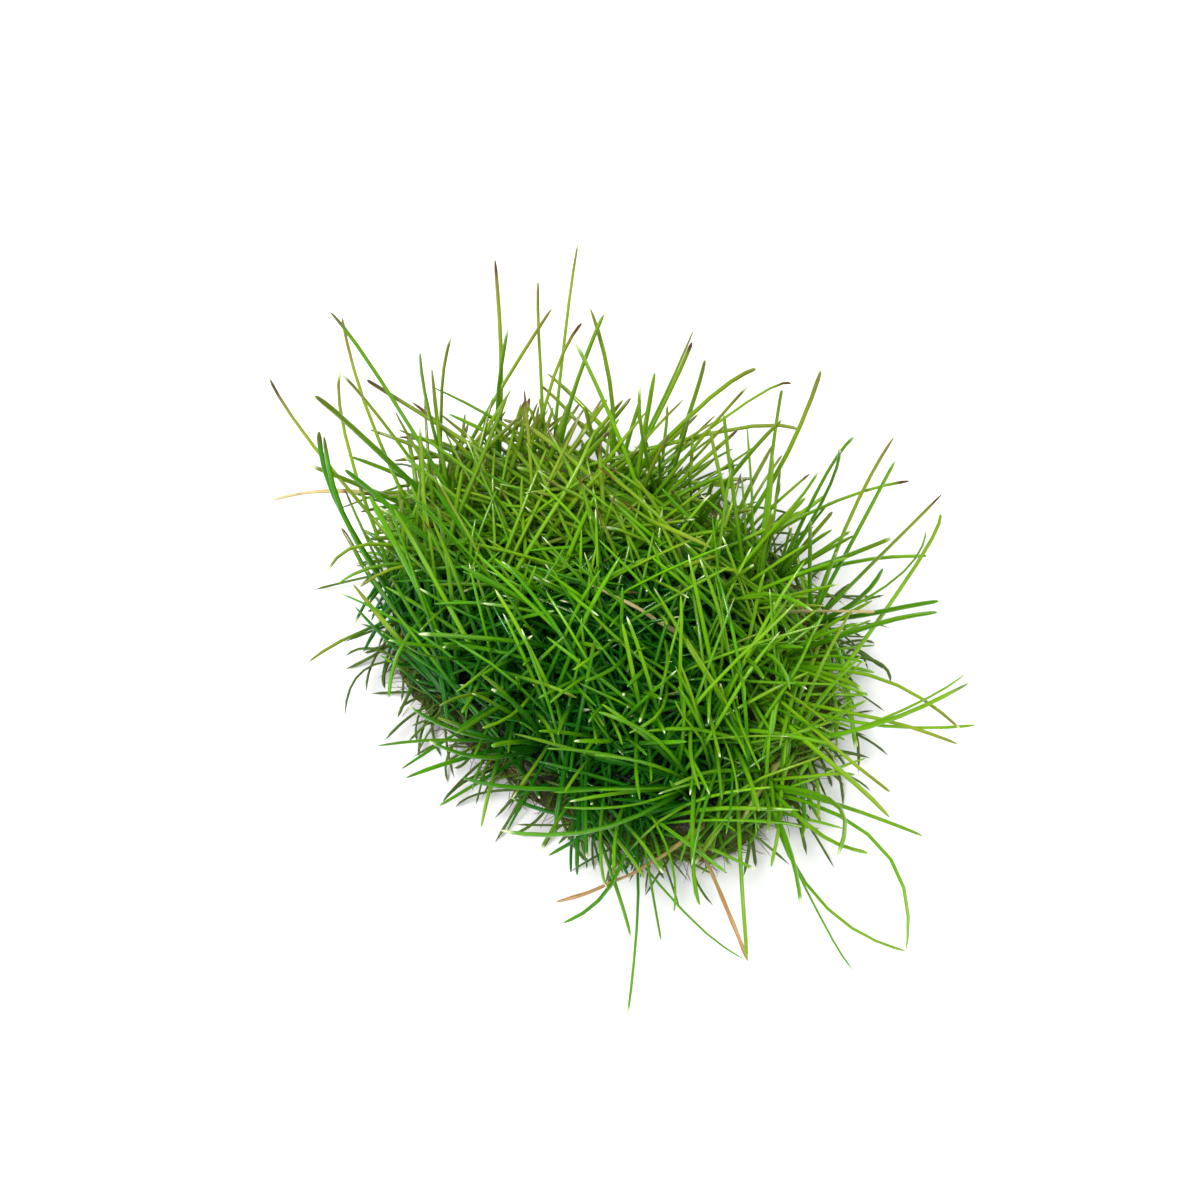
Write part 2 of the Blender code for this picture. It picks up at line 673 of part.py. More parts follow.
def main():
    """Build the mat, the tufts and the withered leaves, and stand the portion on its origin."""
    clear_scene()
    rng = random.Random(SEED)
    collection = bpy.data.collections.new("dwarf_hairgrass")
    bpy.context.scene.collection.children.link(collection)
    portion = bpy.data.objects.new("portion", None)
    collection.objects.link(portion)
    green = finish("green_leaf", GREEN, 0.32)
    roots = finish("matted_roots", ROOT_BROWN, 0.6)
    withered = finish("withered_leaf", WITHERED_TAN, 0.5)
    straw = finish("straw_leaf", STRAW, 0.5)

    mat = root_mat()
    mat.normal_update()
    thicket = Thicket(BVHTree.FromBMesh(mat))
    put(mat, "root_mat", Vector((0, 0, 0)), roots, portion, collection)

    tufts = [Tuft(number, spot) for number, spot in enumerate(tuft_spots(rng), 1)]
    share_out(tufts)
    for tuft in tufts:
        tuft.settle(rng)
        tuft.seat(thicket)
    for tuft in tufts:
        for leaf in tuft.seen:
            bear_somewhere(leaf, tuft, tufts, thicket)
    loose = {}
    for number, (name, seen) in enumerate(WITHERED.items(), len(tufts) + 1):
        loose[name] = withered_leaf(seen, number, thicket, rng)
    for tuft in tufts:
        tuft.fill(FAN, tuft.filling_lengths(), rng, thicket)
    for tuft in tufts:
        tuft.fill(WIDE_FAN, SHORT_LENGTHS, rng, thicket)
    for tuft in tufts:
        put(tuft.bm, f"tuft_{tuft.number:02d}", tuft.origin, green, portion, collection)
    for name, bm in loose.items():
        tone = withered if "front" in name else straw
        bm.verts.ensure_lookup_table()
        put(bm, name, bm.verts[0].co.copy(), tone, portion, collection)

    bpy.context.view_layer.update()
    corners = np.array([
        obj.matrix_world @ vertex.co
        for obj in collection.objects if obj.type == "MESH" for vertex in obj.data.vertices
    ])
    middle = (corners.min(axis=0) + corners.max(axis=0)) / 2
    portion.location = (-middle[0], -middle[1], -corners[:, 2].min())


main()
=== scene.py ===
"""The looks of a portion of dwarf hairgrass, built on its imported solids.

Every tuft is traced from its solid, so that each leaf keeps its foot, bend and tip, and becomes a
round green leaf among finer ones. The mat gets its matted roots, and the withered leaves dry out.
"""

import logging
import math
from dataclasses import dataclass
from enum import Enum
from typing import Any, NamedTuple

import bpy
import numpy as np
from mathutils import Matrix, Vector


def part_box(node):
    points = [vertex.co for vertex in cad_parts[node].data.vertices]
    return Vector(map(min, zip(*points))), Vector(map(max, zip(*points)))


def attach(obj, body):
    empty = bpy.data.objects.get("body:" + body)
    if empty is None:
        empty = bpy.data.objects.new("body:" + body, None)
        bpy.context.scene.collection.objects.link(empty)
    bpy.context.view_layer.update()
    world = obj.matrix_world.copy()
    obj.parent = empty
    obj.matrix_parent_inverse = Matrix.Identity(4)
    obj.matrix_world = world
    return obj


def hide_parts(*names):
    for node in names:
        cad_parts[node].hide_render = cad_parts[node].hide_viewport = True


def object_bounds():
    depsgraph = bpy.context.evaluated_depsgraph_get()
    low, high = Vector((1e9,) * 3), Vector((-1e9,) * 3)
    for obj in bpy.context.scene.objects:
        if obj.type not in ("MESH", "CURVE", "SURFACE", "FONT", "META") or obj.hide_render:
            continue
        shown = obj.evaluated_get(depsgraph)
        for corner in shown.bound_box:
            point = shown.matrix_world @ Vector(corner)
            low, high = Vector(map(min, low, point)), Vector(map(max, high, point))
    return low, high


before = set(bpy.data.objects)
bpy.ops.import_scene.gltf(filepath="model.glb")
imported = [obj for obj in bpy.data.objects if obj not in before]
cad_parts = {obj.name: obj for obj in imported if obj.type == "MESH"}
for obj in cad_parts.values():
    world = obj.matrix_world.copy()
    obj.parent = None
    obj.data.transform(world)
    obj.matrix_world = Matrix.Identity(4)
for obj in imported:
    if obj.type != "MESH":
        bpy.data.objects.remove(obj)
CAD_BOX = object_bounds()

Colour = tuple[float, float, float]
Pair = tuple[float, float]
Triple = tuple[float, float, float]
Random = np.random.Generator

LOG = logging.getLogger("dwarf_hairgrass")
MM = 0.001
BODY = "root"
TINY = 1e-12
# The lowest and the highest corner of the solids' box.
LOW, HIGH = (np.array(corner) for corner in CAD_BOX)


class Slot(Enum):
    """The record's material slots."""

    GREEN = "green_leaf"
    ROOTS = "matted_roots"
    WITHERED = "withered_leaf"
    STRAW = "straw_leaf"


class Socket:
    """A value in a material's node tree. Maths on it adds Math nodes."""

    def __init__(self, shading: "Shading", output: bpy.types.NodeSocket) -> None:
        """Wrap one output socket of a material."""
        self.shading = shading
        self.output = output

    def __add__(self, other: "Socket | float") -> "Socket":
        """This value plus another."""
        return self.shading.maths("ADD", self, other)

    def __radd__(self, other: float) -> "Socket":
        """A number plus this value."""
        return self.shading.maths("ADD", other, self)

    def __sub__(self, other: "Socket | float") -> "Socket":
        """This value less another."""
        return self.shading.maths("SUBTRACT", self, other)

    def __rsub__(self, other: float) -> "Socket":
        """A number less this value."""
        return self.shading.maths("SUBTRACT", other, self)

    def __mul__(self, other: "Socket | float") -> "Socket":
        """This value times another."""
        return self.shading.maths("MULTIPLY", self, other)

    def __rmul__(self, other: float) -> "Socket":
        """A number times this value."""
        return self.shading.maths("MULTIPLY", other, self)


class Shading:
    """A material under construction: its node tree, its maths and its one surface shader."""

    def __init__(self, name: str) -> None:
        """Start an empty material.

        Args:
            name: the material's name.
        """
        self.material = bpy.data.materials.new(name)
        self.material.use_nodes = True
        self.tree = self.material.node_tree
        self.tree.nodes.clear()

    def node(self, kind: str, settings: dict[str, Any], inputs: dict[str | int, Any]) -> bpy.types.Node:
        """Add a node.

        Args:
            kind: the node's type.
            settings: its properties, which are set before its sockets.
            inputs: what goes into its sockets, by name or number: a Socket, a number or a colour.

        Returns:
            The new node.
        """
        node = self.tree.nodes.new(kind)
        for key, value in settings.items():
            setattr(node, key, value)
        for key, value in inputs.items():
            if isinstance(value, Socket):
                self.tree.links.new(value.output, node.inputs[key])
            else:
                node.inputs[key].default_value = value
        return node

    def output(
        self, output: str | int, kind: str, settings: dict[str, Any], inputs: dict[str | int, Any],
    ) -> Socket:
        """One output of a new node, by its name or number."""
        return Socket(self, self.node(kind, settings, inputs).outputs[output])

    def maths(self, operation: str, first: Socket | float, second: Socket | float) -> Socket:
        """One Math node on two values."""
        return self.output(0, "ShaderNodeMath", {"operation": operation}, {0: first, 1: second})

    def attributes(self, *names: str) -> list[Socket]:
        """Numbers that the mesh carries at each of its points, by their names."""
        return [self.output("Fac", "ShaderNodeAttribute", {"attribute_name": name}, {}) for name in names]

    def place(self) -> Socket:
        """The place on the piece, in metres."""
        return self.output("Object", "ShaderNodeTexCoord", {}, {})

    def noise(self, vector: Socket, scale: float, detail: float, rough: float = 0.5) -> Socket:
        """Cloudy noise from 0 to 1 over a vector, with a number of features per unit."""
        inputs = {"Vector": vector, "Scale": scale, "Detail": detail, "Roughness": rough}
        return self.output("Fac", "ShaderNodeTexNoise", {}, inputs)

    def streaks(self, stretch: Triple, detail: float, rough: float = 0.5) -> Socket:
        """Cloudy noise that follows each leaf.

        Args:
            stretch: how many features there are round a leaf, along it, and over the range of tones.
            detail: how many finer layers the noise has.
            rough: how strong they are.

        Returns:
            The noise, from 0 to 1.
        """
        ways = self.attributes("around", "along", "tone")
        scaled = {number: way * scale for number, (way, scale) in enumerate(zip(ways, stretch))}
        return self.noise(self.output(0, "ShaderNodeCombineXYZ", {}, scaled), 1.0, detail, rough)

    def step(self, value: Socket, start: float, full: float) -> Socket:
        """How far a value is from its start to where it is full, smoothly from 0 to 1."""
        inputs = {"Value": value, "From Min": start, "From Max": full}
        return self.output(0, "ShaderNodeMapRange", {"interpolation_type": "SMOOTHSTEP"}, inputs)

    def layered(self, ground: Colour, *layers: tuple[Socket, Colour]) -> Socket:
        """A colour with others laid over it in turn.

        Args:
            ground: the first colour.
            layers: how much there is of each further colour, kept from 0 to 1, and the colour.

        Returns:
            The colour that shows.
        """
        shown = (*ground, 1.0)
        for share, colour in layers:
            inputs = {0: share, 6: shown, 7: (*colour, 1.0)}
            shown = self.output(2, "ShaderNodeMix", {"data_type": "RGBA", "clamp_factor": True}, inputs)
        return shown

    def close(self, colour: Socket, roughness: Socket, relief: Socket, depth: float, **fixed: Any) -> None:
        """Close the material with its shader.

        Args:
            colour: the base colour.
            roughness: the roughness, from 0 to 1.
            relief: the height of the fine relief, in units of depth.
            depth: the relief's height in metres.
            fixed: values of other sockets, with _ for a blank in a name.
        """
        bump = self.output(0, "ShaderNodeBump", {}, {"Height": relief, "Distance": depth})
        inputs = {"Base Color": colour, "Roughness": roughness, "Normal": bump}
        inputs.update({key.replace("_", " "): value for key, value in fixed.items()})
        shader = self.output(0, "ShaderNodeBsdfPrincipled", {}, inputs)
        self.node("ShaderNodeOutputMaterial", {}, {"Surface": shader})


@dataclass(frozen=True)
class GreenLeafFinish:
    """Living leaf: smooth, wet and a little translucent, deep green in the shade and olive at the tips."""

    deep: Colour = (0.032, 0.190, 0.002)
    bright: Colour = (0.150, 0.410, 0.003)
    olive: Colour = (0.270, 0.310, 0.020)
    sheath: Colour = (0.16, 0.22, 0.025)
    shaded: Colour = (0.010, 0.118, 0.003)
    straw: Colour = (0.55, 0.45, 0.16)
    fading: Colour = (0.150, 0.115, 0.028)
    pale_tip_and_glint: Colour = (0.62, 0.70, 0.38)
    brown_tip: Colour = (0.10, 0.055, 0.015)
    blotches_per_metre: float = 420.0
    streak_stretch: Triple = (3.6, 2.0, 40.0)
    film_stretch: Triple = (0.8, 3.5, 47.0)
    roughness: float = 0.25
    relief: float = 0.06 * MM
    light_inside: float = 0.6 * MM

    def material(self) -> bpy.types.Material:
        """Make the material.

        Each layer starts and is full at the two numbers of its step: along the leaf from 0 at the
        foot to 1 at the tip, or over one of the leaf's other values, made uneven by the blotches.

        Returns:
            A material that reads the leaf's along, around, tone, warmth, tip, shade and dryness.
        """
        make = Shading("green_leaf_finish")
        along, tone, warmth = make.attributes("along", "tone", "warmth")
        tip, shade, dry = make.attributes("tip", "shade", "dry")
        blotch = make.noise(make.place(), self.blotches_per_metre, 2.0)
        streak = make.streaks(self.streak_stretch, 2.0)
        wet = make.step(make.streaks(self.film_stretch, 2.0), 0.48, 0.56)
        foot = 1.0 - make.step(along + blotch * 0.04, 0.02, 0.14)
        faded = make.step(along + blotch * 0.12, 0.80, 1.04) * make.step(warmth - tone * 0.2, 0.15, 0.7)
        # Painted highlight: a pale dot at the very tip, partly the tip's own pale colour and partly a painted
        # glint.
        pale_and_glinting_tip = make.step(along + blotch * 0.02, 0.955, 0.995) * make.step(tip, 0.7, 0.85)
        withered = make.step(along + blotch * 0.05, 0.93, 0.99) * (1.0 - make.step(tip, 0.06, 0.16))
        colour = make.layered(
            self.deep,
            # The streaks are few round each leaf and brighten one side of it: painted shading across the
            # leaf.
            (tone * 0.8 + blotch * 0.5 + streak * 0.9 - 0.57, self.bright),
            (make.step(along + blotch * 0.3, 0.2, 1.1) * warmth, self.olive),
            # Painted highlight: pale olive lines along the leaves where the streaks run high.
            (make.step(streak, 0.62, 0.8) * 0.35, self.olive),
            (foot * 0.7, self.sheath),
            (make.step(shade + blotch * 0.2, 0.38, 0.95), self.shaded),
            (dry * 0.8, self.straw),
            (faded * 0.75, self.fading),
            (pale_and_glinting_tip, self.pale_tip_and_glint),
            (withered, self.brown_tip),
        )
        make.close(
            colour, blotch * 0.18 + self.roughness, streak, self.relief,
            Subsurface_Weight=0.12, Subsurface_Radius=(0.5, 1.0, 0.12), Subsurface_Scale=self.light_inside,
            Coat_Weight=wet * 0.9 + 0.03, Coat_Roughness=0.1, Specular_IOR_Level=0.08,
        )
        return make.material


@dataclass(frozen=True)
class RootFinish:
    """Matted roots and old leaf bases: damp brown, with straw-coloured strands and a green bloom."""

    umber: Colour = (0.032, 0.030, 0.005)
    brown: Colour = (0.090, 0.064, 0.014)
    bloom: Colour = (0.052, 0.105, 0.006)
    straw: Colour = (0.38, 0.31, 0.11)
    old_leaf: Colour = (0.062, 0.130, 0.005)
    shaded: Colour = (0.004, 0.012, 0.002)
    clumps_per_metre: float = 260.0
    grains_per_metre: float = 1900.0
    relief: float = 0.3 * MM

    def material(self) -> bpy.types.Material:
        """Make the material.

        Returns:
            A material that reads the strand's tone, which is 0.5 on the mat itself, and the shade.
        """
        make = Shading("matted_roots_finish")
        tone, shade = make.attributes("tone", "shade")
        clumps = make.noise(make.place(), self.clumps_per_metre, 4.0, 0.6)
        grain = make.noise(make.place(), self.grains_per_metre, 3.0, 0.6)
        colour = make.layered(
            self.umber,
            (make.step(clumps + grain * 0.3, 0.45, 0.8), self.brown),
            (make.step(clumps * 1.2 - tone * 0.5, 0.20, 0.5) * 0.85, self.bloom),
            (make.step(tone + grain * 0.3, 0.85, 1.2), self.straw),
            (1.0 - make.step(tone + clumps * 0.5, -0.45, 0.1), self.old_leaf),
            (make.step(shade + grain * 0.2, 0.35, 0.85), self.shaded),
        )
        make.close(
            colour, 0.75 - 0.35 * clumps, grain, self.relief,
            Coat_Weight=0.08, Coat_Roughness=0.2, Specular_IOR_Level=0.2,
        )
        return make.material


@dataclass(frozen=True)
class WitheredFinish:
    """Withered leaf: dry, streaked lengthwise, with brown spots and a green remnant at the foot."""

    name: str
    light: Colour
    dark: Colour
    spot: Colour = (0.20, 0.075, 0.02)
    remnant: Colour = (0.16, 0.28, 0.03)
    streak_stretch: Triple = (7.0, 5.0, 30.0)
    blotches_per_metre: float = 700.0
    relief: float = 0.08 * MM
    light_inside: float = 0.4 * MM

    def material(self) -> bpy.types.Material:
        """Make the material.

        Returns:
            A material that reads the leaf's along, around, tone and warmth.
        """
        make = Shading(self.name)
        along, warmth = make.attributes("along", "warmth")
        streak = make.streaks(self.streak_stretch, 4.0, 0.6)
        blotch = make.noise(make.place(), self.blotches_per_metre, 3.0)
        colour = make.layered(
            self.dark,
            (make.step(streak, 0.35, 0.65), self.light),
            (make.step(blotch, 0.60, 0.75) * 0.8, self.spot),
            ((1.0 - make.step(along + blotch * 0.3, 0.15, 0.85)) * warmth, self.remnant),
        )
        make.close(
            colour, 0.42 + 0.25 * streak, streak, self.relief,
            Subsurface_Weight=0.15, Subsurface_Radius=(1.0, 0.6, 0.3), Subsurface_Scale=self.light_inside,
        )
        return make.material


@dataclass(frozen=True)
class FloorFinish:
    """A plain pale surface to rest on."""

    pale: Colour = (0.80, 0.80, 0.80)
    cloudy: Colour = (0.70, 0.70, 0.70)
    clouds_per_metre: float = 6.0
    relief: float = 0.01 * MM

    def material(self) -> bpy.types.Material:
        """Make the material.

        Returns:
            A material with faint wide clouds.
        """
        make = Shading("pale_floor_finish")
        cloud = make.noise(make.place(), self.clouds_per_metre, 1.0)
        colour = make.layered(self.pale, (cloud * 0.04, self.cloudy))
        make.close(colour, 0.6 + 0.05 * cloud, cloud, self.relief)
        return make.material


class Surface(NamedTuple):
    """Points, faces and the values that each point carries."""

    points: np.ndarray
    quads: np.ndarray
    triangles: np.ndarray
    values: dict[str, np.ndarray]


def joined(surfaces: list[Surface]) -> Surface:
    """Several surfaces as one: the faces of each count on from the points before it.

    Args:
        surfaces: the surfaces.

    Returns:
        One surface, with the values that the first one has.
    """
    starts = np.cumsum([0] + [len(s.points) for s in surfaces[:-1]])
    return Surface(
        np.vstack([s.points for s in surfaces]),
        np.vstack([s.quads + start for s, start in zip(surfaces, starts)]),
        np.vstack([s.triangles + start for s, start in zip(surfaces, starts)]),
        {key: np.concatenate([s.values[key] for s in surfaces]) for key in surfaces[0].values},
    )


def piece(name: str, surface: Surface, material: bpy.types.Material) -> bpy.types.Object:
    """Make a piece of a surface, smooth, riding on the root body. No point of it goes below 0.

    Args:
        name: the piece's name.
        surface: its shape.
        material: its finish.

    Returns:
        The new object.
    """
    mesh = bpy.data.meshes.new(name)
    mesh.vertices.add(len(surface.points))
    points = np.hstack((surface.points[:, :2], np.maximum(surface.points[:, 2:], 0)))
    mesh.vertices.foreach_set("co", points.astype(np.float32).ravel())
    corners = np.concatenate((surface.quads.ravel(), surface.triangles.ravel()))
    sides = np.concatenate((np.full(len(surface.quads), 4), np.full(len(surface.triangles), 3)))
    mesh.loops.add(len(corners))
    mesh.loops.foreach_set("vertex_index", corners.astype(np.int32))
    mesh.polygons.add(len(sides))
    mesh.polygons.foreach_set("loop_start", (np.cumsum(sides) - sides).astype(np.int32))
    mesh.polygons.foreach_set("use_smooth", np.ones(len(sides), bool))
    for key, value in surface.values.items():
        mesh.attributes.new(key, "FLOAT", "POINT").data.foreach_set("value", value.astype(np.float32))
    mesh.update(calc_edges=True)
    mesh.validate()
    mesh.materials.append(material)
    obj = bpy.data.objects.new(name, mesh)
    bpy.context.scene.collection.objects.link(obj)
    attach(obj, BODY)
    return obj


def unit(vectors: np.ndarray) -> np.ndarray:
    """The vectors along the last axis, each divided by its length."""
    return vectors / np.maximum(np.linalg.norm(vectors, axis=-1, keepdims=True), TINY)


def headed(angles: np.ndarray) -> np.ndarray:
    """Level unit vectors at angles, each its cosine and its sine along a new last axis."""
    return np.stack((np.cos(angles), np.sin(angles)), axis=-1)


def share_of_way(values: np.ndarray, start: float | np.ndarray, end: float) -> np.ndarray:
    """How far values are on the way from a start to an end, from 0 to 1."""
    return np.clip((values - start) / (end - start), 0, 1)


def closed_faces(number: np.ndarray, feet: np.ndarray, tips: np.ndarray) -> tuple[np.ndarray, np.ndarray]:
    """The faces of closed tubes: quads from each ring to the next, and a fan at each end.

    Args:
        number: the numbers of the rings' points, as tubes by rings by sides.
        feet: the number of each tube's pole at the foot.
        tips: the number of each tube's pole at the tip.

    Returns:
        The quads and the triangles.
    """
    after = np.roll(number, -1, axis=2)
    quads = np.stack((number[:, :-1], after[:, :-1], after[:, 1:], number[:, 1:]), axis=-1)
    foot, tip = (np.repeat(poles[:, None], number.shape[2], axis=1) for poles in (feet, tips))
    fans = ((after[:, 0], number[:, 0], foot), (number[:, -1], after[:, -1], tip))
    return quads.reshape(-1, 4), np.vstack([np.stack(fan, axis=-1).reshape(-1, 3) for fan in fans])


def sides_along(ways: np.ndarray) -> tuple[np.ndarray, np.ndarray]:
    """Two vectors across each of many lines, at each station.

    The first is carried along from the foot, each time less its share along the line. The second is
    square to the first and to the line.

    Args:
        ways: unit vectors along the lines, as lines by stations by 3.

    Returns:
        The first vectors and the second ones.
    """
    least = np.argmin(np.abs(ways[:, 0]), axis=1)
    side = unit(np.cross(ways[:, 0], np.eye(3)[least]))
    carried = [side]
    for way in ways[:, 1:].swapaxes(0, 1):
        side = unit(side - way * np.sum(side * way, axis=1, keepdims=True))
        carried.append(side)
    first = np.stack(carried, axis=1)
    return first, np.cross(ways, first)


def tubes(
    lines: np.ndarray, radii: np.ndarray, sides: int, values: dict[str, np.ndarray],
    flatness: float = 1.0, twist: float = 0.0,
) -> Surface:
    """Closed tubes along many lines at once.

    The point at share v along a line and angle a around it is the line's place at v, plus its radius
    at v times cos a along one side vector and sin a along the other.

    Args:
        lines: places of each line, as lines by stations by 3.
        radii: the radius at each station, as lines by stations. A pole closes the first and the last.
        sides: how many sides a tube has.
        values: one number for each line, by name, for every point of its tube.
        flatness: the radius across the second side vector, as a share of the first.
        twist: how far the section turns from foot to tip, in radians.

    Returns:
        The tubes' surface, with along and around among its values.
    """
    count, ringed = len(lines), lines.shape[1] - 2
    first, second = sides_along(unit(np.gradient(lines, axis=1)))
    reached = np.cumsum(np.linalg.norm(np.diff(lines, axis=1), axis=2), axis=1)
    along = np.hstack((np.zeros((count, 1)), reached / reached[:, -1:]))
    inner = slice(1, -1)
    turn = twist * along[:, inner, None]
    one = first[:, inner] * np.cos(turn) + second[:, inner] * np.sin(turn)
    two = second[:, inner] * np.cos(turn) - first[:, inner] * np.sin(turn)
    angles = np.arange(sides) * math.tau / sides
    across, upward = np.cos(angles)[:, None], flatness * np.sin(angles)[:, None]
    rings = radii[:, inner, None, None] * (across * one[:, :, None] + upward * two[:, :, None])
    rings = lines[:, inner, None] + rings
    number = np.arange(count * ringed * sides).reshape(count, ringed, sides)
    feet = number.size + np.arange(count)
    spread = {
        key: np.concatenate((np.repeat(value, ringed * sides), value, value)) for key, value in values.items()
    }
    along = np.repeat(along[:, inner].ravel(), sides)
    around = np.cos(angles + turn).ravel() * 0.5 + 0.5
    spread["along"] = np.concatenate((along, np.zeros(count), np.ones(count)))
    spread["around"] = np.concatenate((around, np.full(2 * count, 0.5)))
    points = np.concatenate((rings.reshape(-1, 3), lines[:, 0], lines[:, -1]))
    return Surface(points, *closed_faces(number, feet, feet + count), spread)


def wavy(places: np.ndarray, pitch: float, seed: int, waves: int = 9) -> np.ndarray:
    """Smooth noise from about -1 to 1: the mean of sine waves in several directions, scaled up.

    Args:
        places: where to work it out, with 3 numbers along the last axis.
        pitch: about how far apart its crests are.
        seed: which noise it is.
        waves: how many waves are added.

    Returns:
        One value for each place.
    """
    rng = np.random.default_rng(seed)
    ways = unit(rng.normal(size=(waves, 3))) * rng.uniform(0.7, 1.5, (waves, 1)) * math.tau / pitch
    return np.sin(places @ ways.T + rng.uniform(0, math.tau, waves)).sum(-1) / math.sqrt(waves)


def smooth_through(grid: np.ndarray, finer: int, axis: int, closed: bool) -> np.ndarray:
    """More points on smooth curves through a grid's points, in one direction.

    Between points 1 and 2 of a run 0, 1, 2, 3, the place at share t is half of: 2 p1 + (p2 - p0) t
    + (2 p0 - 5 p1 + 4 p2 - p3) t^2 + (3 p1 - p0 - 3 p2 + p3) t^3.

    Args:
        grid: the points.
        finer: how many new spans stand for each old one.
        axis: the direction.
        closed: whether the last point joins the first.

    Returns:
        The finer grid, with the old points in it.
    """
    points = np.moveaxis(grid, axis, 0)
    if closed:
        run = [np.roll(points, shift, axis=0) for shift in (1, 0, -1, -2)]
    else:
        before, beyond = np.concatenate((points[:1], points[:-2])), np.concatenate((points[2:], points[-1:]))
        run = [before, points[:-1], points[1:], beyond]
    share = (np.arange(finer) / finer).reshape(1, finer, *([1] * (points.ndim - 1)))
    p0, p1, p2, p3 = (p[:, None] for p in run)
    fine = 0.5 * (
        2 * p1 + (p2 - p0) * share + (2 * p0 - 5 * p1 + 4 * p2 - p3) * share**2
        + (3 * p1 - p0 - 3 * p2 + p3) * share**3
    )
    fine = fine.reshape(-1, *points.shape[1:])
    if not closed:
        fine = np.concatenate((fine, points[-1:]))
    return np.moveaxis(fine, 0, axis)


class Leaves(NamedTuple):
    """The middle lines of many leaves, each with one smooth bend between its foot and its tip."""

    feet: np.ndarray
    pulls: np.ndarray
    tips: np.ndarray

    def places(self, stations: np.ndarray) -> np.ndarray:
        """The places on each line: (1-t)^2 foot + 2t(1-t) pull + t^2 tip at each station t.

        Args:
            stations: the stations, from 0 at the foot to 1 at the tip.

        Returns:
            The places, as leaves by stations by 3.
        """
        share = stations[None, :, None]
        foot, pull, tip = (ends[:, None] for ends in self)
        return (1 - share) ** 2 * foot + 2 * share * (1 - share) * pull + share**2 * tip


# A solid leaf has a ring of points at each of these shares of its way, from the tip down. One that
# was read from the picture has three rings, and one that fills a tuft has two.
SEEN_STATIONS = (0.72, 0.42, 0.12)
FILLING_STATIONS = (0.58, 0.12)
# The faces' angles at a tip add up to less than this, in radians.
SPIKE = 1.5
# Points of a solid that are nearer to one another than this are one.
MERGE = 1e-7


@dataclass
class Solid:
    """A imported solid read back: its welded points, its triangles and which points adjoin."""

    node: str

    def __post_init__(self) -> None:
        """Read the node's triangles and weld them."""
        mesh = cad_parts[self.node].data
        mesh.calc_loop_triangles()
        corners = np.empty(len(mesh.loop_triangles) * 3, np.int32)
        mesh.loop_triangles.foreach_get("vertices", corners)
        places = np.empty(len(mesh.vertices) * 3, np.float32)
        mesh.vertices.foreach_get("co", places)
        places = places.reshape(-1, 3).astype(float)
        cells = np.round(places / MERGE).astype(np.int64)
        _, first, back = np.unique(cells, axis=0, return_index=True, return_inverse=True)
        self.points = places[first]
        triangles = back.reshape(-1)[corners].reshape(-1, 3)
        self.triangles = triangles[(triangles != np.roll(triangles, 1, axis=1)).all(axis=1)]
        self.adjoins = np.zeros((len(self.points),) * 2, bool)
        for one, other in ((0, 1), (1, 2), (2, 0)):
            self.adjoins[self.triangles[:, one], self.triangles[:, other]] = True
            self.adjoins[self.triangles[:, other], self.triangles[:, one]] = True

    def spikes(self) -> np.ndarray:
        """Find the sharp points: those where the faces' angles add up to little.

        Returns:
            Their numbers.
        """
        corners = self.points[self.triangles]
        total = np.zeros(len(self.points))
        for turn in range(3):
            here, left, right = (corners[:, (turn + step) % 3] for step in range(3))
            cosine = np.sum(unit(left - here) * unit(right - here), axis=1)
            np.add.at(total, self.triangles[:, turn], np.arccos(np.clip(cosine, -1, 1)))
        return np.flatnonzero(total < SPIKE)

    def rings(self, start: np.ndarray, count: int) -> list[np.ndarray]:
        """Walk from some points outward, all at once.

        Args:
            start: the numbers of the points.
            count: how many rings to take.

        Returns:
            One mask for each ring, as starts by points.
        """
        here = np.zeros((len(start), len(self.points)), bool)
        here[np.arange(len(start)), start] = True
        been, found = here.copy(), []
        for _ in range(count):
            here = (here.astype(np.float32) @ self.adjoins.astype(np.float32) > 0) & ~been
            been |= here
            found.append(here)
        return found

    def middle(self, mask: np.ndarray) -> np.ndarray:
        """The mean place of the points in each row of a mask."""
        return mask @ self.points / np.maximum(mask.sum(axis=1, keepdims=True), 1)


def through(
    feet: np.ndarray, tips: np.ndarray, shares: tuple[float, ...], places: list[np.ndarray],
) -> np.ndarray:
    """The pull of each leaf that passes nearest to some places on its way.

    At share t, a leaf's place less its foot's and tip's parts is 2t(1-t) times the pull, and the
    pull is the least-squares answer over the shares.

    Args:
        feet: the leaves' feet.
        tips: their tips.
        shares: the shares of the way at which places are known.
        places: the known places, one array for each share.

    Returns:
        The pulls.
    """
    weights = np.array([2 * t * (1 - t) for t in shares])
    rests = [place - (1 - t) ** 2 * feet - t**2 * tips for t, place in zip(shares, places)]
    return sum(w * rest for w, rest in zip(weights, rests)) / np.sum(weights**2)


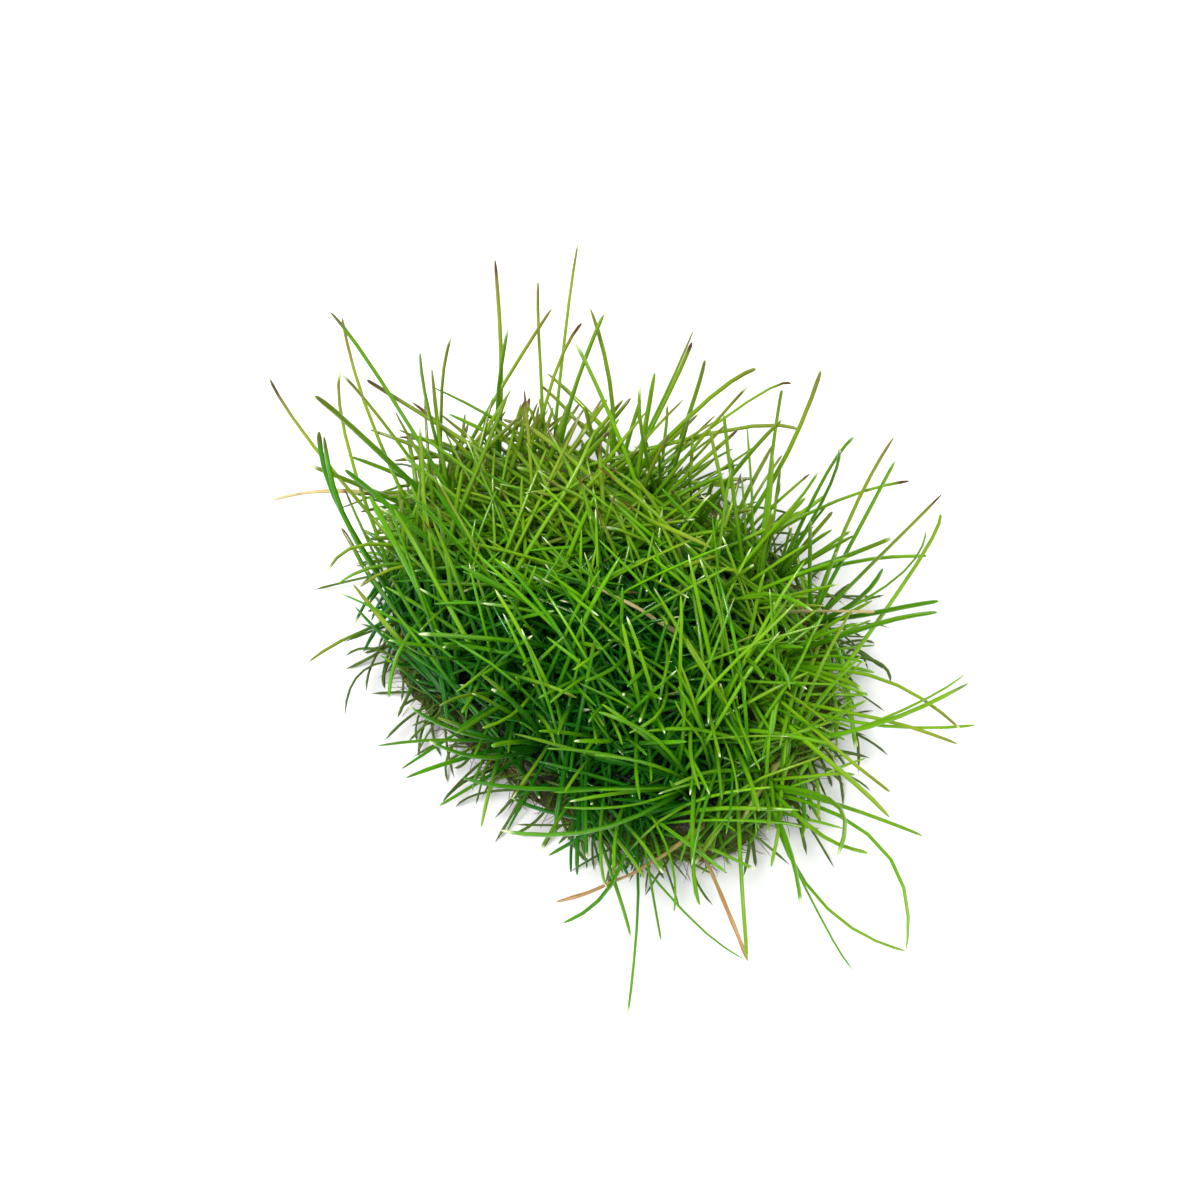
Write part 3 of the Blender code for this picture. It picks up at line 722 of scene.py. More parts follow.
@dataclass
class Shade:
    """How crowded the growth above a place is, from 0 in the open to 1 in the thick of it.

    The portion's box is parted in small cells. Each leaf adds its area to the cells that it passes,
    the cells' areas are summed from the top down, and the shade is 1 - e^(-sum / thickness). Light
    comes through from the back and the right, so the shade is less there. Low down at the front
    left, where no light comes in under the leaves, more is added.
    """

    leaves: list[Leaves]
    cell: float = 1.0 * MM
    border: int = 4
    thickness: float = 1.1
    samples: int = 24
    leaf_width: float = 0.4 * MM
    reach_in_cells: float = 2.6
    light_from: tuple[Pair, Pair] = ((4 * MM, 19 * MM), (3 * MM, 17 * MM))
    light_share: float = 0.7
    dim_way: Pair = (-0.8, -0.6)
    dim_from: Pair = (7 * MM, 16 * MM)
    dim_heights: Pair = (12 * MM, 4 * MM)
    dim_share: float = 0.9

    def __post_init__(self) -> None:
        """Sum the leaves' areas, and mark the cells within reach of a leaf."""
        self.low = LOW - self.border * self.cell
        area = np.zeros(np.ceil((HIGH - self.low) / self.cell).astype(int) + self.border)
        for part in self.leaves:
            places = part.places(np.linspace(0, 1, self.samples))
            length = np.linalg.norm(np.diff(places, axis=1), axis=2).sum(axis=1)
            share = np.repeat(length * self.leaf_width / self.samples / self.cell**2, self.samples)
            np.add.at(area, self.cells(places.reshape(-1, 3), area.shape), share)
        span = range(-math.ceil(self.reach_in_cells), math.ceil(self.reach_in_cells) + 1)
        ways = [(x, y, z) for x in span for y in span for z in span]
        ball = [way for way in ways if math.hypot(*way) < self.reach_in_cells]
        self.near = np.any([np.roll(area > 0, way, axis=(0, 1, 2)) for way in ball], axis=0)
        area = sum(np.roll(area, (x, y), axis=(0, 1)) for x in (-1, 0, 1) for y in (-1, 0, 1)) / 9
        above = area[:, :, ::-1].cumsum(axis=2)[:, :, ::-1] - area / 2
        self.amount = 1 - np.exp(-above / self.thickness)

    def cells(self, places: np.ndarray, shape: tuple[int, ...]) -> tuple[np.ndarray, ...]:
        """The cells of places, as three arrays of numbers."""
        return tuple(np.clip(((places - self.low) / self.cell).astype(int), 0, np.array(shape) - 1).T)

    def within_reach(self, places: np.ndarray) -> np.ndarray:
        """Whether places are within reach of a leaf."""
        return self.near[self.cells(places, self.near.shape)]

    def crowding(self, places: np.ndarray) -> np.ndarray:
        """How crowded it is above places, blended from the eight cells around each.

        Args:
            places: the places.

        Returns:
            One number from 0 to 1 for each.
        """
        off = (places - self.low) / self.cell - 0.5
        corner = np.floor(off).astype(int)
        share = off - corner
        total = np.zeros(len(places))
        for step in np.ndindex(2, 2, 2):
            cell = np.clip(corner + step, 0, np.array(self.amount.shape) - 1)
            weight = np.prod(np.where(np.array(step) == 1, share, 1 - share), axis=1)
            total += weight * self.amount[tuple(cell.T)]
        return total

    def at(self, places: np.ndarray) -> np.ndarray:
        """The shade at places: the crowding, less the light, plus the dimness at the front left.

        Args:
            places: the places.

        Returns:
            Their shade, from 0 to 1.
        """
        light = np.zeros(len(places))
        for axis, (start, end) in enumerate(self.light_from):
            light = np.maximum(light, share_of_way(places[:, axis], start, end))
        dim = share_of_way(places[:, :2] @ self.dim_way, *self.dim_from)
        dim = dim * share_of_way(places[:, 2], *self.dim_heights) * self.dim_share
        return np.clip(self.crowding(places) * (1 - self.light_share * light) + dim, 0, 1)


@dataclass(frozen=True)
class Strands:
    """Fine roots that lie over the mat's top and round its side, each wandering along the surface."""

    on_top: int = 450
    round_side: int = 1450
    radii: Pair = (0.05 * MM, 0.15 * MM)
    lengths: Pair = (5 * MM, 14 * MM)
    reach: float = 20 * MM
    rings: Pair = (0.1, 4.0)
    lowest_ring: float = 0.6
    sides_a_step: float = 1.1
    rings_a_step: float = 1.2
    swing: float = 1.3
    waves: Pair = (4.0, 9.0)
    stations: int = 10
    sides: int = 3

    def wander(self, rng: Random, count: int) -> np.ndarray:
        """How the heading of each strand turns along its way: two slow sine waves.

        Args:
            rng: what varies.
            count: how many strands there are.

        Returns:
            Angles in radians, as strands by stations.
        """
        share = np.linspace(0, 1, self.stations)
        swing = rng.uniform(-self.swing, self.swing, (count, 2, 1))
        phase = rng.uniform(0, math.tau, (count, 2, 1))
        return (swing * np.sin(share * np.array(self.waves)[:, None] + phase)).sum(axis=1)

    def surface(self, mat: "RootMat", rng: Random) -> Surface:
        """Lay the strands over the mat.

        A root on the top goes on by equal steps along its heading, and one round the side by steps
        whose heading is measured in sides and rings of the grid.

        Args:
            mat: the mat.
            rng: what varies.

        Returns:
            Their surface.
        """
        count = self.on_top
        lengths = rng.uniform(*self.lengths, (count, 1))
        heading = rng.uniform(0, math.tau, (count, 1)) + self.wander(rng, count)
        steps = headed(heading) * lengths[..., None] / self.stations
        reach = np.sqrt(rng.uniform(0, 1, count)) * self.reach
        start = headed(rng.uniform(0, math.tau, count)) * reach[:, None] + mat.middle[:2]
        top = mat.over(start[:, None] + np.cumsum(steps, axis=1))
        count = self.round_side
        side = rng.uniform(0, len(mat.grid), (count, 1))
        drift = np.cumsum(np.cos(self.wander(rng, count)), axis=1)
        side = side + drift * rng.uniform(-self.sides_a_step, self.sides_a_step, (count, 1))
        ring = rng.uniform(*self.rings, (count, 1)) * mat.finer_across
        ring = ring + np.cumsum(np.sin(self.wander(rng, count)), axis=1) * self.rings_a_step
        lines = np.concatenate((top, mat.on_grid(side, np.maximum(ring, self.lowest_ring))))
        radii = rng.uniform(*self.radii, (len(lines), 1)) * np.ones(self.stations)
        return tubes(lines, radii, self.sides, {"tone": rng.uniform(0, 1, len(lines))})


@dataclass(frozen=True)
class Runners:
    """Runners from each crown to its two nearest neighbours. Their rise and arch are in radii."""

    radius: float = 0.2 * MM
    rise: float = 0.4
    arch: float = 1.5
    sway: float = 0.5 * MM
    waist: float = 0.25
    tones: Pair = (0.75, 1.2)
    stations: int = 12
    sides: int = 6

    def surface(self, mat: "RootMat", crowns: np.ndarray, rng: Random) -> Surface:
        """Lead the runners over the mat, each arched and swayed by half a sine wave.

        Args:
            mat: the mat.
            crowns: where the crowns stand.
            rng: what varies.

        Returns:
            Their surface.
        """
        apart = np.linalg.norm(crowns[:, None] - crowns[None], axis=2)
        np.fill_diagonal(apart, np.inf)
        nearest = np.argsort(apart, axis=1)[:, :2]
        pairs = np.unique(np.sort([(a, b) for a, row in enumerate(nearest) for b in row], axis=1), axis=0)
        count = len(pairs)
        share = np.linspace(0, 1, self.stations)
        wave = np.sin(math.pi * share)
        start, end = crowns[pairs[:, 0]], crowns[pairs[:, 1]]
        flat = start[:, None, :2] + (end - start)[:, None, :2] * share[None, :, None]
        sway = rng.uniform(-1, 1, (count, 1)) * self.sway * wave
        aside = unit(np.stack((start[:, 1] - end[:, 1], end[:, 0] - start[:, 0]), axis=1))
        lines = mat.over(flat + aside[:, None] * sway[..., None])
        lines[..., 2] += self.radius * (self.rise + rng.uniform(0, self.arch, (count, 1)) * wave)
        waists = 1 - self.waist * np.sin(math.tau * 2 * share) ** 2
        radii = np.full(lines.shape[:2], self.radius) * waists
        return tubes(lines, radii, self.sides, {"tone": rng.uniform(*self.tones, count)})


@dataclass(frozen=True)
class Fringe:
    """Something that stands out of the mat's side: how much of it, where, which way and how thick."""

    count: int
    rings: Pair
    lengths: Pair
    spread: float
    lift: Pair
    bend: float
    arch: float
    radius: float
    stations: int
    sides: int
    tones: Pair
    girths: Pair = (0.7, 1.2)
    sunk_radii: float = 4.0

    def surface(self, mat: "RootMat", rng: Random) -> Surface:
        """Let it stand out of the mat, each hair or leaf bent a little on its way.

        Args:
            mat: the mat.
            rng: what varies.

        Returns:
            Its surface.
        """
        side = rng.uniform(0, len(mat.grid), self.count)
        feet = mat.on_grid(side, rng.uniform(*self.rings, self.count) * mat.finer_across)
        turn = side * math.tau / len(mat.grid) + rng.normal(0, self.spread, self.count)
        way = unit(np.column_stack((headed(turn), rng.uniform(*self.lift, self.count))))
        length = rng.uniform(*self.lengths, (self.count, 1))
        tips = feet + way * length
        bend = rng.normal(0, self.bend, (self.count, 3)) * length
        bend[:, 2] += self.arch * length[:, 0]
        tips[:, 2] = np.maximum(tips[:, 2], self.radius)
        sunk = feet - way * self.radius * self.sunk_radii
        lines = Leaves(sunk, (feet + tips) / 2 + bend, tips).places(np.linspace(0, 1, self.stations))
        radii = self.radius * rng.uniform(*self.girths, (self.count, 1)) * np.ones(self.stations)
        return tubes(lines, radii, self.sides, {"tone": rng.uniform(*self.tones, self.count)})


ROOT_HAIRS = Fringe(
    count=900, rings=(0.4, 3.6), lengths=(0.6 * MM, 2.4 * MM), spread=0.9, lift=(-0.7, 0.5), bend=0.2,
    arch=0.0, radius=0.03 * MM, stations=6, sides=3, tones=(0.2, 0.9),
)
OLD_LEAVES = Fringe(
    count=480, rings=(1.4, 4.6), lengths=(2.0 * MM, 7.5 * MM), spread=1.6, lift=(-0.9, 0.5), bend=0.16,
    arch=0.19, radius=0.12 * MM, stations=9, sides=4, tones=(-1.0, -0.2),
)


@dataclass
class RootMat:
    """The mat of matted roots: a lumpy surface through its solid's rings, and what grows on it."""

    finish: RootFinish
    strands: Strands = Strands()
    runners: Runners = Runners()
    fringes: tuple[Fringe, ...] = (ROOT_HAIRS, OLD_LEAVES)
    node: str = "root_mat"
    low_corner: Pair = (-19.3037 * MM, -17.6498 * MM)
    sides: int = 44
    ring_shares: tuple[float, ...] = (0.95, 1.0, 0.99, 0.93, 0.8, 0.55, 0.25, 0.0)
    finer_around: int = 6
    finer_across: int = 8
    clump_depth: float = 0.5 * MM
    clump_pitch: float = 5 * MM
    furrow_depth: float = 0.3 * MM
    furrow_pitch: float = 2.2 * MM
    open_shares: Pair = (0.80, 1.14)
    seed: int = 5

    def __post_init__(self) -> None:
        """Find the mat's middle, from which its rings were drawn, and work out its surface."""
        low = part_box(self.node)[0]
        self.middle = np.array(Vector((low.x - self.low_corner[0], low.y - self.low_corner[1], 0.0)))
        self.grid = self.surface()

    def rings(self) -> np.ndarray:
        """Sort the solid's points into its rings.

        A point's side is found by its turn about the middle. Along a side, the rings follow the
        angle at which a point is seen from halfway out and halfway up.

        Returns:
            The rings, as sides by rings by 3, with the pole of the top as the last ring.
        """
        away = Solid(self.node).points - self.middle
        reach = np.hypot(away[:, 0], away[:, 1])
        pole = reach.argmin()
        turn = np.arctan2(away[:, 1], away[:, 0])
        place = np.round(turn * self.sides / math.tau).astype(int) % self.sides
        widest = np.array([reach[place == side].max() for side in range(self.sides)])
        rise = np.arctan2(away[:, 2] - away[:, 2].max() / 2, reach - widest[place] / 2)
        order = np.lexsort((rise, place))
        rings = away[order[order != pole]].reshape(self.sides, -1, 3)
        top = np.broadcast_to(away[pole], (self.sides, 1, 3))
        return np.concatenate((rings, top), axis=1) + self.middle

    def surface(self) -> np.ndarray:
        """Work out the mat's side and top on a fine grid.

        A smooth curve runs through the rings both ways. Clumps and furrows are then pressed in
        along the surface's normal, from nothing at the underside.

        Returns:
            The grid, as sides by rings by 3.
        """
        grid = smooth_through(self.rings(), self.finer_around, axis=0, closed=True)
        grid = smooth_through(grid, self.finer_across, axis=1, closed=False)
        around = np.roll(grid, -1, axis=0) - np.roll(grid, 1, axis=0)
        normal = unit(np.cross(around, np.gradient(grid, axis=1)))
        normal[:, -1] = (0, 0, 1)
        rise = share_of_way(np.arange(grid.shape[1]), 0, self.finer_across)
        clumps = 0.5 + 0.5 * np.clip(wavy(grid, self.clump_pitch, seed=1), -1, 1)
        furrows = np.clip(1 - np.abs(wavy(grid, self.furrow_pitch, seed=2)), 0, 1)
        press = (self.clump_depth * clumps + self.furrow_depth * furrows) * rise
        grid = grid - normal * press[..., None]
        grid[:, -1] = grid[:, -2].mean(axis=0)
        grid[..., 2] = np.maximum(grid[..., 2], 0)
        return grid

    def shell(self) -> Surface:
        """Close the grid by its top's pole and by a flat fan underneath.

        Returns:
            The mat itself.
        """
        rings = self.grid[:, :-1]
        around, across, _ = rings.shape
        number = np.arange(around * across).reshape(around, across).T[None]
        poles = number.size + np.arange(2)
        points = np.vstack((rings.reshape(-1, 3), self.grid[0, -1], rings[:, 0].mean(axis=0)))
        faces = closed_faces(number, poles[1:], poles[:1])
        return Surface(points, *faces, {"tone": np.full(len(points), 0.5)})

    def on_grid(self, side: np.ndarray, ring: np.ndarray) -> np.ndarray:
        """Find places on the surface, blended from the four nearest corners of the grid.

        Args:
            side: how many sides round each place is.
            ring: how many rings up it is.

        Returns:
            The places.
        """
        ring = np.clip(ring, 0, np.nextafter(self.grid.shape[1] - 1, 0))
        one, other = np.floor(side).astype(int), np.floor(ring).astype(int)
        share, rise = (side - one)[..., None], (ring - other)[..., None]
        one, after = one % len(self.grid), (one + 1) % len(self.grid)
        low = self.grid[one, other] * (1 - share) + self.grid[after, other] * share
        high = self.grid[one, other + 1] * (1 - share) + self.grid[after, other + 1] * share
        return low * (1 - rise) + high * rise

    def toward_rim(self, flat: np.ndarray) -> tuple[np.ndarray, np.ndarray]:
        """Find which way level places lie from the middle, and how far.

        Args:
            flat: the places, with 2 numbers along the last axis.

        Returns:
            The side of the grid that each is on, and its reach as a share of the rim's there.
        """
        away = flat - self.middle[:2]
        side = np.arctan2(away[..., 1], away[..., 0]) * len(self.grid) / math.tau
        rim = self.on_grid(side, np.full(side.shape, float(self.finer_across)))
        reach = np.linalg.norm(rim[..., :2] - self.middle[:2], axis=-1)
        return side, np.linalg.norm(away, axis=-1) / reach

    def over(self, flat: np.ndarray) -> np.ndarray:
        """Find the places on the mat's top above or below level places.

        Args:
            flat: the level places, with 2 numbers along the last axis.

        Returns:
            The places on the top, no further out than the rim.
        """
        side, share = self.toward_rim(flat)
        inward = [-outer for outer in self.ring_shares[1:]]
        ring = np.interp(-np.clip(share, 0, 1), inward, range(1, len(self.ring_shares)))
        return self.on_grid(side % len(self.grid), ring * self.finer_across)

    def build(self, crowns: np.ndarray, shade: Shade) -> bpy.types.Object:
        """Make the mat with its strands, runners, root hairs and old leaves.

        The shade fades out past the rim, where the mat lies open.

        Args:
            crowns: where the tufts' crowns stand.
            shade: how crowded the growth is.

        Returns:
            The piece, which replaces the mat's solid.
        """
        rng = np.random.default_rng(self.seed)
        parts = [self.shell(), self.strands.surface(self, rng), self.runners.surface(self, crowns, rng)]
        whole = joined(parts + [fringe.surface(self, rng) for fringe in self.fringes])
        _, share = self.toward_rim(whole.points[:, :2])
        whole.values["shade"] = shade.at(whole.points) * (1 - share_of_way(share, *self.open_shares))
        obj = piece("matted_root_mat", whole, self.finish.material())
        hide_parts(self.node)
        return obj


@dataclass
class View:
    """The eye in front of the portion: its tilt, its distance and the width of its picture."""

    mat_middle: np.ndarray
    tilt: float = math.radians(57)
    distance: float = 200 * MM
    picture_width: float = 100 * MM
    picture_points: int = 1200
    mat_height: float = 4.6 * MM
    mat_in_picture: Pair = (610, 655)
    sensor: float = 36.0

    def __post_init__(self) -> None:
        """Aim the eye so that the mat's top lies at its point of the picture."""
        self.right = np.array((1.0, 0.0, 0.0))
        self.up = np.array((0.0, math.sin(self.tilt), math.cos(self.tilt)))
        self.toward = np.array((0.0, -math.cos(self.tilt), math.sin(self.tilt)))
        grain = self.picture_width / self.picture_points
        across, down = (place - self.picture_points / 2 for place in self.mat_in_picture)
        top = self.mat_middle + (0, 0, self.mat_height)
        aim = top - self.right * across * grain + self.up * down * grain
        self.eye = aim + self.toward * self.distance

    def points(self, places: np.ndarray) -> np.ndarray:
        """Find where places are seen.

        Args:
            places: the places.

        Returns:
            Their points in the picture, across and down from its top left.
        """
        way = places - self.eye
        flat = np.stack((way @ self.right, -(way @ self.up)), axis=-1) / -(way @ self.toward)[..., None]
        return self.picture_points / 2 + flat * self.distance * self.picture_points / self.picture_width

    def camera(self) -> None:
        """Make the camera: its lens shows the picture's width at the eye's distance."""
        data = bpy.data.cameras.new("camera")
        data.sensor_width = self.sensor
        data.lens = self.sensor * self.distance / self.picture_width
        data.clip_start = 5 * MM
        camera = bpy.data.objects.new("camera", data)
        turn = Matrix(np.stack((self.right, self.up, self.toward), axis=1).tolist()).to_4x4()
        camera.matrix_world = Matrix.Translation(Vector(self.eye)) @ turn
        bpy.context.scene.collection.objects.link(camera)
        bpy.context.scene.camera = camera


class Note(NamedTuple):
    """How a leaf looks whose tip is at a point of the picture, with shares from 0 to 1."""

    point: Pair
    tone: float = 0.5
    warmth: float = 0.3
    tip: float = 0.5
    girth: float = 1.0


NOTES = (
    Note((330, 312), tone=0.05, warmth=0.2, tip=0.1, girth=1.1),
    Note((319, 431), tone=0.05, warmth=0.0, tip=0.1, girth=1.5),
    Note((324, 436), tone=0.10, warmth=0.0, tip=0.1, girth=1.4),
    Note((883, 568), tone=0.05, warmth=0.1, girth=1.2),
    Note((939, 601), tone=0.10, warmth=0.1, girth=1.3),
    Note((270, 379), tone=0.15, warmth=1.0, tip=0.0),
    Note((942, 494), tone=0.20, warmth=1.0, tip=0.0),
    Note((342, 317), tone=0.80, warmth=1.0),
    Note((894, 437), tone=0.80, warmth=1.0, tip=0.2),
    Note((451, 337), tone=0.90, warmth=0.9, tip=0.8),
    Note((538, 281), tone=0.90, warmth=0.9),
    Note((360, 587), tone=0.90, warmth=0.7),
    Note((309, 662), tone=0.90, warmth=0.7, tip=0.2),
    Note((958, 744), tone=0.90, warmth=0.7),
    Note((890, 792), tone=0.90, warmth=0.7),
    Note((712, 548), tone=0.85, warmth=0.6, girth=1.3),
    Note((456, 692), tone=1.0, warmth=0.3),
    Note((481, 828), tone=1.0, warmth=0.3),
    Note((482, 728), tone=1.0, warmth=0.3),
    Note((573, 670), tone=1.0, warmth=0.2),
    Note((629, 733), tone=1.0, warmth=0.2),
    Note((890, 818), tone=1.0, warmth=0.5, girth=1.3),
    # These leaves shine white: their high tip share gives them a painted highlight at the pale tip.
    Note((579, 238), tone=0.80, warmth=0.9, tip=0.9),
    Note((342, 374), tone=0.80, warmth=0.8, tip=0.9),
    Note((328, 572), tone=0.70, warmth=0.6, tip=0.9),
    Note((748, 386), tone=0.80, warmth=0.9, tip=0.9),
    Note((963, 732), tone=0.70, warmth=0.8, tip=0.9),
    Note((582, 323), tone=0.50, warmth=0.9, tip=0.0),
)
# How near to a note's point a leaf's tip is seen when the note is about it, in the picture's points.
NOTE_REACH = 14.0


@dataclass
class Tuft:
    """One tuft: its traced leaves, and the finer and younger ones that stand round its crown."""

    node: str
    finish: bpy.types.Material
    view: View
    number: int
    leaf_radius: float = 0.17 * MM
    stations: tuple[float, ...] = (0.0, 0.04, 0.13, 0.27, 0.42, 0.58, 0.73, 0.86, 0.95, 0.985, 1.0)
    sides: int = 6
    crown_shares: tuple[float, ...] = (0.0, 0.1, 0.4, 0.75, 1.0, 1.15)
    crown_radii: tuple[float, ...] = (0.0, 0.45, 0.55, 0.5, 0.32, 0.0)
    crown_sides: int = 12
    crown_depth: float = 1.3 * MM
    gathering: float = 0.5
    sheath_swell: float = 0.55
    sheath_share: float = 0.1
    traced_sway: float = 0.12 * MM
    added_sway: float = 0.4 * MM
    longest_dry: float = 9 * MM
    dry_share: float = 0.02
    tip_starts: Pair = (0.86, 0.96)
    seed: int = 1000

    def __post_init__(self) -> None:
        """Trace the solid: each spike is a leaf's tip, and its rings lead down to the crown's hub."""
        solid = Solid(self.node)
        hub = np.bincount(solid.triangles.ravel()).argmax()
        starts = solid.spikes()
        rings = solid.rings(starts, len(SEEN_STATIONS) + 1)
        down = np.stack([ring[:, hub] for ring in rings], axis=1).argmax(axis=1)
        seen = down == len(SEEN_STATIONS)
        middles = [solid.middle(ring) for ring in rings]
        feet, tips = np.stack(middles, axis=1)[np.arange(len(starts)), down], solid.points[starts]
        full = through(feet, tips, SEEN_STATIONS, middles)
        short = through(feet, tips, FILLING_STATIONS, middles)
        leafy = np.zeros(len(solid.points), bool)
        leafy[starts] = True
        for number, ring in enumerate(rings):
            leafy |= ring[down > number].any(axis=0)
        leafy[hub] = True
        self.head = solid.points[hub]
        self.base = 2 * solid.points[~leafy].mean(axis=0) - self.head
        self.root = (self.base + self.head) / 2 - (0, 0, self.crown_depth)
        gathered = feet + (self.root - feet) * self.gathering
        self.leaves = Leaves(gathered, np.where(seen[:, None], full, short), tips)

    def looks(self, leaves: Leaves, traced: bool, rng: Random) -> dict[str, np.ndarray]:
        """Each leaf's tone, warmth, tip, dryness and girth, by where it grows and by the notes.

        The tone rises outward, and falls to the left and to the front as painted shade on the side away
        from the light. The warmth rises to the back and to the right. Leaves at the back are thicker, and
        a few short ones are dry.

        Args:
            leaves: the leaves.
            traced: whether they are the solid's, so that the notes on single leaves apply.
            rng: what varies.

        Returns:
            One array for each of the values.
        """
        place = (leaves.tips - LOW) / (HIGH - LOW) * 2 - 1
        count = len(place)
        outward = np.clip(np.hypot(place[:, 0], place[:, 1]), 0, 1)
        left, right = np.clip(-place[:, 0], 0, 1), np.clip(place[:, 0], 0, 1)
        front, back = np.clip(-place[:, 1] - 0.3, 0, 1), np.clip(place[:, 1], 0, 1)
        # Painted shade: the tone falls to the left and to the front, away from the light.
        tone = 0.4 + 0.22 * outward - 0.65 * left - 0.45 * front + rng.normal(0, 0.22, count)
        warmth = 1.1 * back**1.8 + 0.3 * right + rng.normal(0.06, 0.14, count)
        tip = rng.uniform(0.1, 1, count) - 0.3 * back
        girth = np.clip(rng.normal(1.0, 0.2, count), 0.65, 1.6) + 0.2 * back - 0.12 * right
        short = np.linalg.norm(leaves.tips - leaves.feet, axis=1) < self.longest_dry
        dry = short * (rng.uniform(0, 1, count) < self.dry_share) * rng.uniform(0.5, 1, count)
        if traced:
            dry[:] = 0
            notes = np.array([note.point for note in NOTES])
            apart = np.linalg.norm(self.view.points(leaves.tips)[:, None] - notes[None], axis=2)
            for leaf in np.flatnonzero(apart.min(axis=1) < NOTE_REACH):
                _, tone[leaf], warmth[leaf], tip[leaf], girth[leaf] = NOTES[apart[leaf].argmin()]
        return {"tone": tone, "warmth": warmth, "tip": tip, "dry": dry, "girth": girth}

    def tubed(self, leaves: Leaves, traced: bool, rng: Random) -> Surface:
        """Make round tubes of leaves, which narrow to their tips.

        A tube narrows by a fifth on its way, and from the start of its tip its radius falls as the
        root of 1 - x^1.3, where x is how far along the tip a place is. A slow wave sways the line.

        Args:
            leaves: the leaves.
            traced: whether they are the solid's own.
            rng: what varies.

        Returns:
            Their surface.
        """
        looks = self.looks(leaves, traced, rng)
        count = len(leaves.tips)
        station = np.array(self.stations)
        chord = leaves.tips - leaves.feet
        aside = unit(np.cross(chord, rng.normal(size=chord.shape)))
        sway = rng.uniform(-1, 1, (count, 1)) * (self.traced_sway if traced else self.added_sway)
        wave = np.sin(math.pi * station) * np.sin(math.tau * station + rng.uniform(0, math.tau, (count, 1)))
        lines = leaves.places(station) + aside[:, None] * (sway * wave)[..., None]
        narrowed = share_of_way(station, rng.uniform(*self.tip_starts, (count, 1)), 1) ** 1.3
        radii = self.leaf_radius * looks.pop("girth")[:, None] * np.sqrt(1 - narrowed)
        radii = radii * (1.04 - 0.22 * station)
        radii = radii * (1 + self.sheath_swell * np.clip(1 - station / self.sheath_share, 0, 1))
        return tubes(lines, radii, self.sides, looks)

    def crown(self) -> Surface:
        """Make the crown: a low mound of leaf bases, from inside the mat to just past their feet.

        Returns:
            Its surface.
        """
        line = self.root + (self.head - self.root) * np.array(self.crown_shares)[:, None]
        looks = {"tone": 0.2, "warmth": 0.5, "tip": 0.5, "dry": 0.0}
        values = {key: np.full(1, value) for key, value in looks.items()}
        bulb = tubes(line[None], np.array(self.crown_radii)[None] * MM, self.crown_sides, values)
        bulb.values["along"] = bulb.values["along"] * 0.08 + 0.05
        return bulb

    def build(self, added: Leaves, shade: Shade) -> bpy.types.Object:
        """Make the tuft.

        Args:
            added: the leaves that it has besides the traced ones.
            shade: how crowded the growth is.

        Returns:
            The piece, which replaces the tuft's solid.
        """
        rng = np.random.default_rng(self.seed + self.number)
        whole = joined([self.crown(), self.tubed(self.leaves, True, rng), self.tubed(added, False, rng)])
        whole.values["shade"] = shade.at(whole.points)
        obj = piece(f"{self.node}_leaves", whole, self.finish)
        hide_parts(self.node)
        return obj


class Sort(NamedTuple):
    """A sort of added leaf: how many a tuft gets, how long they are, and how they lie."""

    each: int
    lengths: Triple
    rise: Pair
    bow: Pair
    most_shade: float = 1.0
    rim_share: float = 0.0
    spread: float = 0.0


SORTS = (
    # Long ones that cross over the top, and middling ones below them.
    Sort(6, (13 * MM, 18 * MM, 25 * MM), (0.05, 0.55), (0.03, 0.20), most_shade=0.5),
    Sort(5, (9 * MM, 14 * MM, 18 * MM), (0.20, 0.75), (0.04, 0.20)),
    # Short ones that hang over the mat's rim, and ones that lie along it.
    Sort(14, (4 * MM, 7 * MM, 11 * MM), (-0.75, 0.10), (0.10, 0.45), rim_share=0.74, spread=0.9),
    Sort(6, (7 * MM, 11 * MM, 15 * MM), (-0.35, 0.25), (0.05, 0.30), rim_share=0.74, spread=1.6),
    # Young ones that stand, and ones that lean out over the rim.
    Sort(3, (3 * MM, 5 * MM, 9 * MM), (0.45, 1.0), (0.00, 0.12)),
    Sort(8, (8 * MM, 13 * MM, 18 * MM), (0.10, 0.60), (0.05, 0.25), rim_share=0.62, spread=1.0),
)


